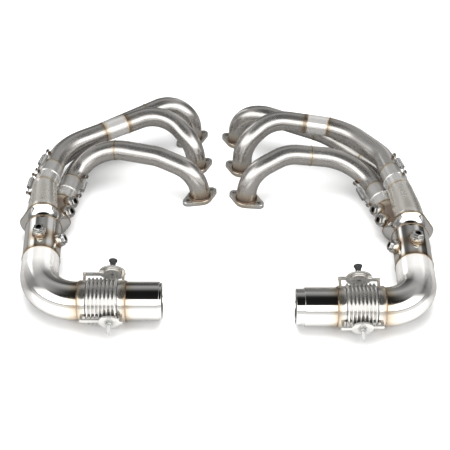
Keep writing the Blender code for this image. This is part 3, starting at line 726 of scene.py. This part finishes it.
def primary(side, bank, place):
    """Bent header tube with welded joints, a slip end and its spring tab."""
    name, body = f"{side}_{place}_primary", f"{side}_{place}_runner"
    points = with_steps(route_points(primary_corners(bank, place)))
    total = lengths(points)[-1]
    seams = [share * total for share in SEAMS[(side, place)]]

    slip = total - INSERT_DEPTH - SLIP_LENGTH
    seam_peak = 0.62 if place == "middle" else 0.25

    def heat(s):
        foot = 0.72 * max(0.0, 1 - s / 0.030) ** 1.2
        return max(foot, near(s, seams, 0.011, seam_peak), near(s, [slip + 0.002], 0.006, 0.35))

    cut = min(range(len(points)), key=lambda i: abs(lengths(points)[i] - slip))
    shape = Shape()
    frames, spots = tube(shape, points, TUBE_R, TUBE_WALL, heat=heat)
    made = shape.done(f"{name}_tube", SATIN, body, (name,))
    made.data.materials.append(SLIP)
    made.data.materials.append(INSERT)
    insert = seams if place == "middle" else (1.0, 0.0)
    tube_at = made.data.attributes["tube"].data
    for face in made.data.polygons:
        low = min(tube_at[i].vector[0] for i in face.vertices)
        if low >= spots[cut] - 1e-6:
            face.material_index = 1
        elif insert[0] < low < insert[1] - 0.004:
            face.material_index = 2
    welds = Shape()
    for seam in seams + [spots[cut]]:
        i = min(range(len(spots)), key=lambda k: abs(spots[k] - seam))
        hoop(welds, frames[i], TUBE_R + 0.0001, 0.0009, 0.30)
    back, _ = tab_spots(bank, place)
    tab(welds, *back)
    welds.done(f"{name}_welds", WELD, body, (), 40.0)


def merge_collector(side, bank):
    """Slip cups and branch tubes, welded where they meet the cone."""
    name, body = f"{side}_merge_collector", f"{side}_collector"
    forward = (bank["corner"] - bank["ring"]).normalized()
    normal = (forward - UP * RING_TILT).normalized()

    def to_ring(point):
        return point + forward * ((0.0012 - (point - bank["ring"]).dot(normal)) / forward.dot(normal))

    welds = Shape()
    for place in PLACES:
        lip, into = cup_axis(bank, place)
        knee, merge = branch_ends(bank, place)
        knee_bend = 0.010 if (merge - knee).length < 0.03 else 0.016
        reach = MERGE_BEND * math.tan((merge - knee).angle(forward) / 2)
        merge_bend = MERGE_BEND * 0.010 / reach if reach > 0.011 else MERGE_BEND
        corners = [
            (lip + into * 0.0004, 0), (knee, knee_bend), (merge, merge_bend), (merge + forward * 0.012, 0),
        ]
        points = with_steps(route_points(corners), 0.003)
        top = place == "middle"
        sizes = [
            (0.0, CUP_LIP_R - 0.0006), (0.0006, CUP_LIP_R), (CUP_LIP - 0.0006, CUP_LIP_R),
            (CUP_LIP + 0.0010, CUP_R), (CUP_LENGTH - 0.002, CUP_R),
            (CUP_LENGTH + (0.05 if top else 0.003), TOP_BRANCH_R if top else BRANCH_R),
        ]
        cup = [lip + into * s for s in (0.0, 0.0006, 0.0018, 0.0029, 0.0045, 0.008, 0.014, 0.020)]
        points = cup + [point for point in points if (point - lip).dot(into) > 0.0225]
        warm = 0.62 if place == "front" else 0.12

        def heat(s, warm=warm):
            return max(warm * min(1.0, max(0.0, (s - 0.024) / 0.02)), near(s, [CUP_LENGTH], 0.008, 0.4),
                       near(s, [0.0], 0.004, 0.15))

        shape = Shape()
        tube(shape, points, sizes, 0.0018, heat=heat, last=to_ring)
        shape.done(f"{side}_{place}_branch", BRANCH, body, (name,) if place == PLACES[0] else ())
        hoop(welds, axis_matrix(lip + into * (CUP_LENGTH + 0.0005), into), CUP_R - 0.0004, 0.0008, 0.42)
        _, ahead = tab_spots(bank, place)
        tab(welds, *ahead)
    welds.done(f"{name}_welds", WELD, body, (), 40.0)


def lobe_radius(angle, lobe_r, lobe_d):
    """Outline round three equal circles, by angle; lobes at 90, 210 and 330."""
    delta = (angle - math.pi / 2 + math.pi / 3) % (2 * math.pi / 3) - math.pi / 3
    between = math.pi / 3 - abs(delta)
    flat = lobe_d / 2 + lobe_r
    if math.tan(between) <= lobe_d * math.sin(math.pi / 3) / flat:
        return flat / math.cos(between)
    reach = lobe_d * math.sin(delta)
    return lobe_d * math.cos(delta) + math.sqrt(lobe_r ** 2 - reach ** 2)


def cone(side, bank):
    """Polished loft from the three-lobed merge to the round body, with weld beads."""
    name, body = f"{side}_merge_cone", f"{side}_collector"
    place = axis_matrix(bank["ring"], bank["corner"] - bank["ring"])
    shape = Shape()
    sides, steps = 144, 24
    shells, rim = [], []
    for inset in (0.0, CONE_WALL):
        rings = []
        for i in range(steps + 1):
            share = i / steps
            ease = share * share * (3 - 2 * share)
            ring = []
            for j in range(sides):
                angle = math.tau * j / sides
                start = lobe_radius(angle + math.pi / 2, CONE_LOBE_R, MERGE_RADIUS)
                radius = start + (PIPE_R - start) * ease - inset
                rear = radius * math.cos(angle) * RING_TILT + GAP * 1.2
                x, y = radius * math.cos(angle), radius * math.sin(angle)
                z = rear + (CONE_LENGTH - rear) * share
                heat = max(near(z - rear, [0.0], 0.007, 0.5), near(z, [CONE_LENGTH], 0.006, 0.4))
                ring.append(shape.vert(place @ Vector((x, y, z)), Vector((z, x, y)), heat))
                if i == 0 and not inset:
                    out = (place.to_3x3() @ Vector((x, y, 0))).normalized()
                    rim.append((place @ Vector((x, y, z)), out))
            rings.append(ring)
        shells.append(rings)
    shape.bridge(shells[0] + shells[1][::-1], True)
    shape.done(name + "_shell", POLISHED, body, (name,), 50.0)
    welds = Shape()
    dense = []
    for (a, out_a), (b, out_b) in zip(rim, rim[1:] + rim[:1]):
        for k in range(3):
            dense.append((a.lerp(b, k / 3), out_a.lerp(out_b, k / 3).normalized()))
    bead(welds, dense, 0.0013, 0.0018, 0.42)
    hoop(welds, axis_matrix(body_start(bank)[0], body_start(bank)[1]), PIPE_R, 0.0011, 0.40)
    welds.done(f"{name}_welds", WELD, body, (), 60.0)


def collector_body(side, bank):
    """Straight polished tube that the upper bungs stand on."""
    name, body = f"{side}_collector_body", f"{side}_collector"
    start, forward = body_start(bank)
    length = (bank["corner"] - start).length - elbow_reach(bank) - bank["stub"] - 2 * GAP
    place = axis_matrix(start + forward * GAP, forward)
    steps = 40
    outer = [(PIPE_R, length * i / steps) for i in range(steps + 1)]
    inner = [(PIPE_R - PIPE_WALL, length), (PIPE_R - PIPE_WALL, 0)]
    spots = {label: data[1] for label, data in bank["bungs"].items() if data[0] == "body"}
    shape = Shape()
    turned(shape, outer + inner, place, 96)
    axes = [bung_frame(bank, label).translation for label in spots]
    for vert in shape.bm.verts:
        gap = min((vert.co - spot).length for spot in axes)
        s = vert[shape.tube].x
        vert[shape.heat] = max(0.72 * max(0.0, 1 - max(0.0, gap - BUNG_R) / 0.016) ** 1.1,
                               near(s, [0.0], 0.008, 0.42), near(s, [length], 0.018, 0.66))
    shape.done(f"{name}_tube", POLISHED, body, (name,))


def bung_frame(bank, label):
    where, distance, turn = bank["bungs"][label]
    if where == "body":
        start, direction = body_start(bank)
        radius = PIPE_R
    else:
        start, merge = branch_ends(bank, where)
        direction = (merge - start).normalized()
        radius = BRANCH_R
    out = radial(axis_matrix(start, direction), turn)
    return axis_matrix(start + direction * distance + out * radius, out, direction)


def bung(side, bank, label):
    """Boss, its weld fillet, and the hollow hex plug."""
    body = f"{side}_collector"
    radius = PIPE_R if bank["bungs"][label][0] == "body" else BRANCH_R
    place = bung_frame(bank, label)
    sag = min(radius - math.sqrt(radius ** 2 - BUNG_R ** 2), 0.004)
    profile = [
        (BUNG_R, -sag), (BUNG_R, 0.004), (BUNG_R - 0.0002, BUNG_HEIGHT - 0.0012),
        (BUNG_R - 0.0005, BUNG_HEIGHT - 0.0004), (BUNG_R - 0.0012, BUNG_HEIGHT),
        (BUNG_BORE_R + 0.0005, BUNG_HEIGHT), (BUNG_BORE_R, BUNG_HEIGHT - 0.0005), (BUNG_BORE_R, -sag),
    ]
    shape = Shape()
    turned(shape, profile, place, 64, True, lambda z: 0.5 * max(0.0, 1 - max(z, 0) / 0.008))
    back = place.inverted()
    for vert in shape.bm.verts:
        spot = back @ vert.co
        if spot.z < 0:   # the foot follows its tube
            spot.z = math.sqrt(radius ** 2 - spot.y ** 2) - radius - 0.0008
            vert.co = place @ spot
    shape.done(f"{side}_{label}_bung_boss", BRIGHT, body, (f"{side}_{label}_bung",))
    path = []
    for i in range(FILLET_POINTS):
        turn = math.tau * i / FILLET_POINTS
        x, y = (BUNG_R + 0.0006) * math.cos(turn), (BUNG_R + 0.0006) * math.sin(turn)
        drop = math.sqrt(radius ** 2 - y ** 2) - radius
        out = (Vector((0, y, radius)).normalized() + Vector((math.cos(turn), math.sin(turn), 0)) * 0.7)
        path.append((place @ Vector((x, y, drop + 0.0005)), (place.to_3x3() @ out).normalized()))
    welds = Shape()
    bead(welds, path, 0.0013, 0.0017, 0.48)
    welds.done(f"{side}_{label}_bung_weld", WELD, body, (), 60.0)
    plug(side, label, place)


def hex_ring(shape, place, radius, z, limit=1.0, heat=0.0, local=True):
    """A hexagon by its corner radius, with the corners turned down to the limit."""
    ring = []
    for i in range(HEX_POINTS):
        turn = math.tau * i / HEX_POINTS
        offset = (turn % (math.pi / 3)) - math.pi / 6
        size = min(radius * math.cos(math.pi / 6) / math.cos(offset), limit)
        x, y = size * math.cos(turn), size * math.sin(turn)
        spot = Vector((z, x, y)) if local else None
        ring.append(shape.vert(place @ Vector((x, y, z)), spot, heat))
    return ring


def plug(side, label, place):
    """Hex plug whose hex socket is painted dark as shade, through the darkest heat tint."""
    spot = place @ Matrix.Translation((0, 0, BUNG_HEIGHT + GAP))
    outside = [
        (PLUG_R - 0.0009, 0), (PLUG_R, 0.0006),
        (PLUG_R, PLUG_HEAD - 0.0008), (PLUG_R - 0.0010, PLUG_HEAD),
    ]
    shape = Shape()
    rings = [hex_ring(shape, spot, radius, z, PLUG_R - 0.0004) for radius, z in outside]
    rings.append(ring_of(shape, spot, SOCKET_R + 0.0004, PLUG_HEAD, HEX_POINTS))
    for depth in (0.0005, SOCKET_DEPTH):
        # painted shade: the socket walls take the darkest heat tint, near black, as shade in the recess
        rings.append(hex_ring(shape, spot, SOCKET_R, PLUG_HEAD - depth, heat=1.0))
    shape.close(rings)
    name = f"{side}_{label}_plug"
    shape.done(f"{name}_head", ZINC, f"{side}_collector", (name,), 28.0)


def elbow(side, bank):
    """Polished mandrel bend between the collector body and the bellows."""
    name, body = f"{side}_elbow", f"{side}_collector"
    start, forward = body_start(bank)
    inward = Vector((bank["inward"], 0, 0))
    end = Vector((leg_stations(bank)["inlet_collar"], bank["corner"].y, AXIS_Z))
    first = bank["corner"] - forward * (elbow_reach(bank) + bank["stub"])
    corners = [(first, 0), (bank["corner"], bank["elbow"]), (end - inward * GAP, 0)]
    points = with_steps(route_points(corners, math.radians(3.0)), 0.004)
    total = lengths(points)[-1]
    shape = Shape()
    frames, _ = tube(shape, points, PIPE_R, PIPE_WALL, 96, UP,
                     heat=lambda s: max(near(s, [0.0], 0.007, 0.4), near(s, [total], 0.026, 0.52)))
    shape.done(f"{name}_bend", CREAM, body, (name,))
    welds = Shape()
    hoop(welds, frames[0], PIPE_R, 0.0013, 0.42, 0.0019)
    hoop(welds, frames[-1], PIPE_R + 0.0002, 0.0014, 0.42, 0.0018)
    welds.done(f"{name}_welds", WELD, body, (), 60.0)


def ear_arm(shape, pin, out, inner_face, radius, reach):
    """A round-ended ear across the pin, with a foot down onto its collar."""
    place = axis_matrix(pin + out * inner_face, out, Vector((1, 0, 0)))
    away = math.copysign(1.0, reach)
    start = math.asin(STRAP_HALF / radius)
    tip = reach + away * FOOT_T * 0.72
    outline = [(tip, -STRAP_HALF * away), (tip, STRAP_HALF * away)]
    for i in range(41):
        turn = start + (math.tau - 2 * start) * i / 40
        outline.append((away * radius * math.cos(turn), away * radius * math.sin(turn)))
    soft = 0.0005
    rings = []
    for inset, z in ((soft, 0), (0, soft), (0, EAR_T - soft), (soft, EAR_T)):
        ring = []
        for x, y in outline:
            gap = math.hypot(x, y)
            k = 1 - inset / gap
            ring.append(shape.vert(place @ Vector((x * k, y * k, z)), Vector((x * k, y * k, z)), 0.05))
        rings.append(ring)
    shape.close(rings)
    width = STRAP_HALF * 0.84
    foot_place = axis_matrix(pin + out * (COLLAR_R - 0.006), out, Vector((1, 0, 0)))
    low, high = reach - FOOT_T / 2, reach + FOOT_T / 2
    tall = inner_face - COLLAR_R + 0.006 + EAR_T * 0.6
    square = [(low, -width), (high, -width), (high, width), (low, width)]
    feet = [[shape.vert(foot_place @ Vector((x, y, z)), Vector((x, y, z)), 0.25) for x, y in square]
            for z in (0, tall)]
    shape.close(feet)


def collar(side, bank, end):
    """Rolled collar with hinge ears in front and behind."""
    name = f"{side}_{end}_collar"
    body = f"{side}_collector" if end == "inlet" else f"{side}_outlet"
    stations = leg_stations(bank)
    inward = bank["inward"]
    pin, direction = pin_line(bank)
    start = stations[f"{end}_collar"]
    length = COLLAR_LENGTH - 2 * GAP
    soft = 0.0008
    profile = [
        (COLLAR_R - soft, 0), (COLLAR_R - soft * 0.3, soft * 0.3), (COLLAR_R, soft),
        (COLLAR_R, length - soft), (COLLAR_R - soft * 0.3, length - soft * 0.3),
        (COLLAR_R - soft, length),
        (COLLAR_BORE_R, length), (COLLAR_BORE_R, 0),
    ]
    shape = Shape()
    joint = 0.0 if end == "inlet" else length
    turned(shape, profile, leg_frame(bank, start + inward * GAP), 96, True,
           lambda z: near(z, [joint], 0.014, 0.42))
    reach = start + inward * COLLAR_LENGTH / 2 - pin.x
    outer = end == "outlet"
    layer = 0.0 if outer else EAR_T + GAP
    shape.done(f"{name}_ring", BRIGHT, body, (name,), 35.0)
    ears = Shape()
    for out, face, radius in ((-direction, FRONT_EAR, FRONT_EAR_R), (direction, REAR_EAR, REAR_EAR_R)):
        ear_arm(ears, pin, out, face - layer, radius if outer else INNER_EAR_R, reach)
    ears.done(f"{name}_ears", EAR, body, (), 35.0)
    if outer:
        welds = Shape()
        hoop(welds, leg_frame(bank, stations["pipe_start"]), PIPE_R + 0.0006, 0.0015, 0.42, 0.0018)
        welds.done(f"{name}_weld", WELD, body, (), 60.0)


def bellows(side, bank):
    """Eight round waves in thin sheet."""
    name = f"{side}_bellows"
    stations = leg_stations(bank)
    length = bank["outlet"][1] - 2 * GAP
    inward = bank["inward"]
    steps = WAVES * 14
    outer = []
    for i in range(steps + 1):
        share = i / steps * WAVES
        swell = (0.5 - 0.5 * math.cos(math.tau * share)) ** 0.62
        outer.append((TROUGH_R + (CREST_R - TROUGH_R) * swell, length * i / steps))
    liner = [(COLLAR_BORE_R, length * (1 - i / 8)) for i in range(9)]
    shape = Shape()
    turned(shape, outer + liner, leg_frame(bank, stations["bellows"] + inward * GAP), 120)
    made = shape.done(f"{name}_sheet", CREST, None, (name,), 60.0)
    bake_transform(made)


def mouth_profile(radius, wall, length):
    """A tube whose far lip is rounded."""
    steps = 16
    made = [(radius, length * 0.96 * i / steps) for i in range(steps + 1)]
    half = wall / 2
    for i in range(7):
        turn = math.pi * i / 6
        made.append((radius - half + half * math.cos(turn), length - half + half * math.sin(turn)))
    made += [(radius - wall, length * (1 - i / 6) * 0.96) for i in range(7)]
    return made


def outlet(side, bank):
    """Outlet pipe and the sleeve that slides in it."""
    stations = leg_stations(bank)
    length = abs(stations["pipe_end"] - stations["pipe_start"])
    place = leg_frame(bank, stations["pipe_start"] + bank["inward"] * GAP)
    name = f"{side}_outlet_pipe"
    profile = mouth_profile(PIPE_R, PIPE_WALL * 0.8, length)
    lathe(f"{name}_tube", profile, place, POLISHED, f"{side}_outlet", 96, True, (name,),
          lambda z: near(z, [0.0], 0.022, 0.46), 40.0)
    name = f"{side}_outlet_sleeve"
    start = stations["pipe_end"] - bank["inward"] * SLEEVE_INSIDE
    full = SLEEVE_INSIDE + bank["sleeve_out"]
    profile = mouth_profile(SLEEVE_R, SLEEVE_WALL, full)
    lathe(f"{name}_tube", profile, leg_frame(bank, start), POLISHED, f"{side}_sleeve", 96, True, (name,),
          None, 40.0)


def threaded(radius, low, high, pitch=0.0010, depth=0.0003):
    """Profile points of a thread between two heights."""
    count = round((high - low) / pitch)
    made = []
    for i in range(count):
        made.append((radius - depth, low + (i + 0.15) * pitch))
        made.append((radius, low + (i + 0.5) * pitch))
    return made


def hinge(side, bank):
    """Front stud with nut and washer, rear stud with its boss and rubber cap."""
    body = f"{side}_collector"
    pin, direction = pin_line(bank)
    stack = EAR_T + GAP
    front = axis_matrix(pin - direction * (FRONT_EAR - stack), -direction)
    shoulder = 2 * stack
    profile = [(PIN_R, 0), (PIN_R, shoulder)] + threaded(PIN_R, shoulder, 0.0310)
    profile.append((PIN_R - 0.0009, 0.0325))
    lathe(f"{side}_front_stud_thread", profile, front, ZINC, body, 32, False,
          (f"{side}_front_hinge_stud",), None, 50.0)
    spot = front @ Matrix.Translation((0, 0, shoulder))
    shape = Shape()
    turned(shape, [(PIN_R + GAP, 0), (0.0093, 0), (0.0096, 0.0003), (0.0096, 0.0009), (0.0093, 0.0012),
                   (PIN_R + GAP, 0.0012)], spot, 48)
    outside = ((0.0071, 0.0012), (0.0076, 0.0018), (0.0076, 0.0054), (0.0069, 0.0060))
    rings = [hex_ring(shape, spot, radius, z, 0.0073, local=False) for radius, z in outside]
    rings += [ring_of(shape, spot, PIN_R + GAP, z, HEX_POINTS) for z in (0.0060, 0.0012)]
    shape.bridge(rings, True)
    shape.done(f"{side}_front_hinge_nut_and_washer", ZINC, body, (f"{side}_front_hinge_nut",), 28.0)
    rear = axis_matrix(pin + direction * (REAR_EAR - stack), direction)
    profile = [
        (PIN_R, 0), (PIN_R, shoulder), (0.0058, shoulder), (0.0062, shoulder + 0.0005),
        (0.0062, shoulder + 0.0065), (0.0057, shoulder + 0.007), (PIN_R, shoulder + 0.007),
    ] + threaded(PIN_R, shoulder + 0.0075, 0.0315) + [(PIN_R - 0.0008, 0.0320)]
    lathe(f"{side}_rear_stud_thread", profile, rear, ZINC, body, 32, False,
          (f"{side}_rear_hinge_stud",), None, 40.0)
    bore = PIN_R + 0.0004
    spot = rear @ Matrix.Translation((0, 0, 0.0215))
    cap = [
        (0.0050, 0), (0.0055, 0.0006), (0.0060, 0.005), (0.0072, 0.0078), (0.0084, 0.0095),
        (0.0087, 0.0105), (0.0086, 0.0120), (0.0078, 0.0125), (bore, 0.0125), (bore, 0),
    ]
    lathe(f"{side}_rear_cap_moulding", cap, spot, RUBBER, body, 48, True,
          (f"{side}_rear_hinge_cap",), None, 40.0)


def spring(side, bank, place):
    """A close-wound spring that stretches between its two tabs."""
    (foot, out, _), (far_foot, far_out, _) = tab_spots(bank, place)
    low, high = foot + out * LOOP_H, far_foot + far_out * LOOP_H
    along = (high - low).normalized()
    length = (high - low).length
    lift = (far_out - along * along.dot(far_out)).normalized()
    aside = along.cross(lift)

    def loop(centre, way, normal):
        way = (way - normal * way.dot(normal)).normalized()
        across = way.cross(normal)
        turns = [math.radians(320 - 12 * i) for i in range(25)]
        return [
            centre + way * (LOOP_LENGTH * math.cos(t)) + across * (LOOP_WIDTH * math.sin(t))
            for t in turns
        ]

    points = loop(low, along, out)
    steps = COIL_TURNS * 20
    first, last = COIL_FROM * length, COIL_TO * length
    for i in range(steps + 1):
        angle = math.tau * i / 20
        spot = low + along * (first + (last - first) * i / steps)
        grow = COIL_R * min(1.0, 0.35 + min(i, steps - i) / 14)
        points.append(spot + (aside * math.cos(angle) + lift * math.sin(angle)) * grow)
    points += loop(high, -along, far_out)[::-1]
    shape = Shape()
    bar(shape, points, WIRE_R, 10)
    made = shape.done(f"{side}_{place}_spring_coil", ZINC, None, (f"{side}_{place}_spring",), 80.0)
    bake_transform(made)


for side, bank in BANKS.items():
    for place in PLACES:
        flange(side, bank, place)
        primary(side, bank, place)
        spring(side, bank, place)
    merge_collector(side, bank)
    cone(side, bank)
    collector_body(side, bank)
    elbow(side, bank)
    for label in bank["bungs"]:
        bung(side, bank, label)
    collar(side, bank, "inlet")
    collar(side, bank, "outlet")
    bellows(side, bank)
    outlet(side, bank)
    hinge(side, bank)


# ----------------------------------------------------------------------- stage
FLOOR_HALF, FLOOR_Z = 6.0, -0.0002
FLOOR_LIGHT, FLOOR_GRAIN = (0.90, 0.90, 0.90), (0.885, 0.885, 0.885)
# painted shade that the metal mirrors from the floor behind the part
FLOOR_REFLECTED_SHADE = (0.18, 0.175, 0.17)
OVERHEAD_SPOT, OVERHEAD_SIZE, OVERHEAD_POWER = Vector((0.0, 0.1, 2.0)), 2.0, 70.0
CAMERA_SPOT, CAMERA_TILT, CAMERA_LENS = (0.0001, -1.87555, 1.4776), math.radians(52.0), 88.0


def floor():
    """Pale sheet that the part lies on."""
    bm = bmesh.new()
    signs = ((-1, -1), (1, -1), (1, 1), (-1, 1))
    bm.faces.new([bm.verts.new((x * FLOOR_HALF, y * FLOOR_HALF, FLOOR_Z)) for x, y in signs])
    mesh = bpy.data.meshes.new("floor")
    bm.to_mesh(mesh)
    bm.free()
    made = bpy.data.objects.new("floor", mesh)
    bpy.context.scene.collection.objects.link(made)
    mat, tree, shader = new_material("pale_floor")
    place = node(tree, "ShaderNodeTexCoord").outputs["Object"]
    grain = noise(tree, place, 40.0, (1, 1, 1), 2.0)
    paint = mix_colour(tree, remap(tree, grain, 0.3, 0.7, 0.0, 1.0), FLOOR_LIGHT, FLOOR_GRAIN)
    # painted reflection: behind y = -0.2 the floor turns dark for glossy rays only, so the metal mirrors
    # painted shade there instead of the white sheet
    split = node(tree, "ShaderNodeSeparateXYZ")
    tree.links.new(place, split.inputs[0])
    behind = remap(tree, split.outputs[1], -0.36, -0.20, 0.0, 0.93)
    mirrored = node(tree, "ShaderNodeLightPath").outputs["Is Glossy Ray"]
    dim = math_node(tree, "MULTIPLY", behind, mirrored)
    tree.links.new(mix_colour(tree, dim, paint, FLOOR_REFLECTED_SHADE), shader.inputs["Base Color"])
    shader.inputs["Roughness"].default_value = 0.9
    shader.inputs["Specular IOR Level"].default_value = 0.1
    mesh.materials.append(mat)


def overhead_light():
    """Broad light over the part, kept out of the metal's reflections."""
    data = bpy.data.lights.new("overhead", "AREA")
    data.energy = OVERHEAD_POWER
    data.shape = "RECTANGLE"
    data.size = data.size_y = OVERHEAD_SIZE
    made = bpy.data.objects.new("overhead", data)
    made.location = OVERHEAD_SPOT
    made.rotation_euler = (-OVERHEAD_SPOT).to_track_quat("-Z", "Y").to_euler()
    made.visible_glossy = False
    bpy.context.scene.collection.objects.link(made)


def grey(stops):
    return [(spot, (value, value, value)) for spot, value in stops]


def light_studio():
    """Dark ceiling, a bright soft wall in front, and grey walls with pale patches behind."""
    world = bpy.data.worlds.new("studio")
    bpy.context.scene.world = world
    world.use_nodes = True
    tree = world.node_tree
    back = tree.nodes["Background"]
    way = node(tree, "ShaderNodeTexCoord").outputs["Generated"]
    split = node(tree, "ShaderNodeSeparateXYZ")
    tree.links.new(way, split.inputs[0])
    front = ramp(tree, grey([
        (0.0, 0.9), (0.20, 0.9), (0.215, 0.10), (0.27, 0.10),
        (0.285, 2.4), (0.75, 2.2), (0.80, 0.02), (1.0, 0.01),
    ]), split.outputs[2])
    rear = ramp(tree, grey([
        (0.0, 0.05), (0.10, 0.05), (0.28, 0.10), (0.50, 0.22),
        (0.74, 0.42), (0.88, 0.26), (0.97, 0.03), (1.0, 0.01),
    ]), split.outputs[2])
    across = remap(tree, split.outputs[0], -1.0, 1.0, 0.0, 1.0)
    windows = ramp(tree, grey([
        (0.0, 0.25), (0.15, 0.25), (0.185, 1.5), (0.225, 1.5), (0.26, 0.14), (0.44, 0.06), (0.50, 0.14),
        (0.60, 0.30), (0.66, 0.7), (0.74, 0.7), (0.78, 0.12), (0.86, 0.03), (0.93, 0.2), (1.0, 0.3),
    ]), across)
    low = remap(tree, split.outputs[2], 0.50, 0.62, 1.0, 0.0)
    rear = mix_colour(tree, low, rear, windows)
    share = remap(tree, split.outputs[1], -0.25, 0.10, 0.0, 1.0)
    tree.links.new(mix_colour(tree, share, front, rear), back.inputs["Color"])
    back.inputs["Strength"].default_value = 1.0
    overhead_light()


def picture():
    """Plain display of light, so that the floor reads as white."""
    bpy.context.scene.view_settings.view_transform = "Standard"


def camera():
    data = bpy.data.cameras.new("camera")
    data.sensor_width = 36.0
    data.lens = CAMERA_LENS
    made = bpy.data.objects.new("camera", data)
    made.location = CAMERA_SPOT
    made.rotation_euler = (CAMERA_TILT, 0.0, 0.0)
    bpy.context.scene.collection.objects.link(made)
    bpy.context.scene.camera = made


picture()
floor()
light_studio()
camera()
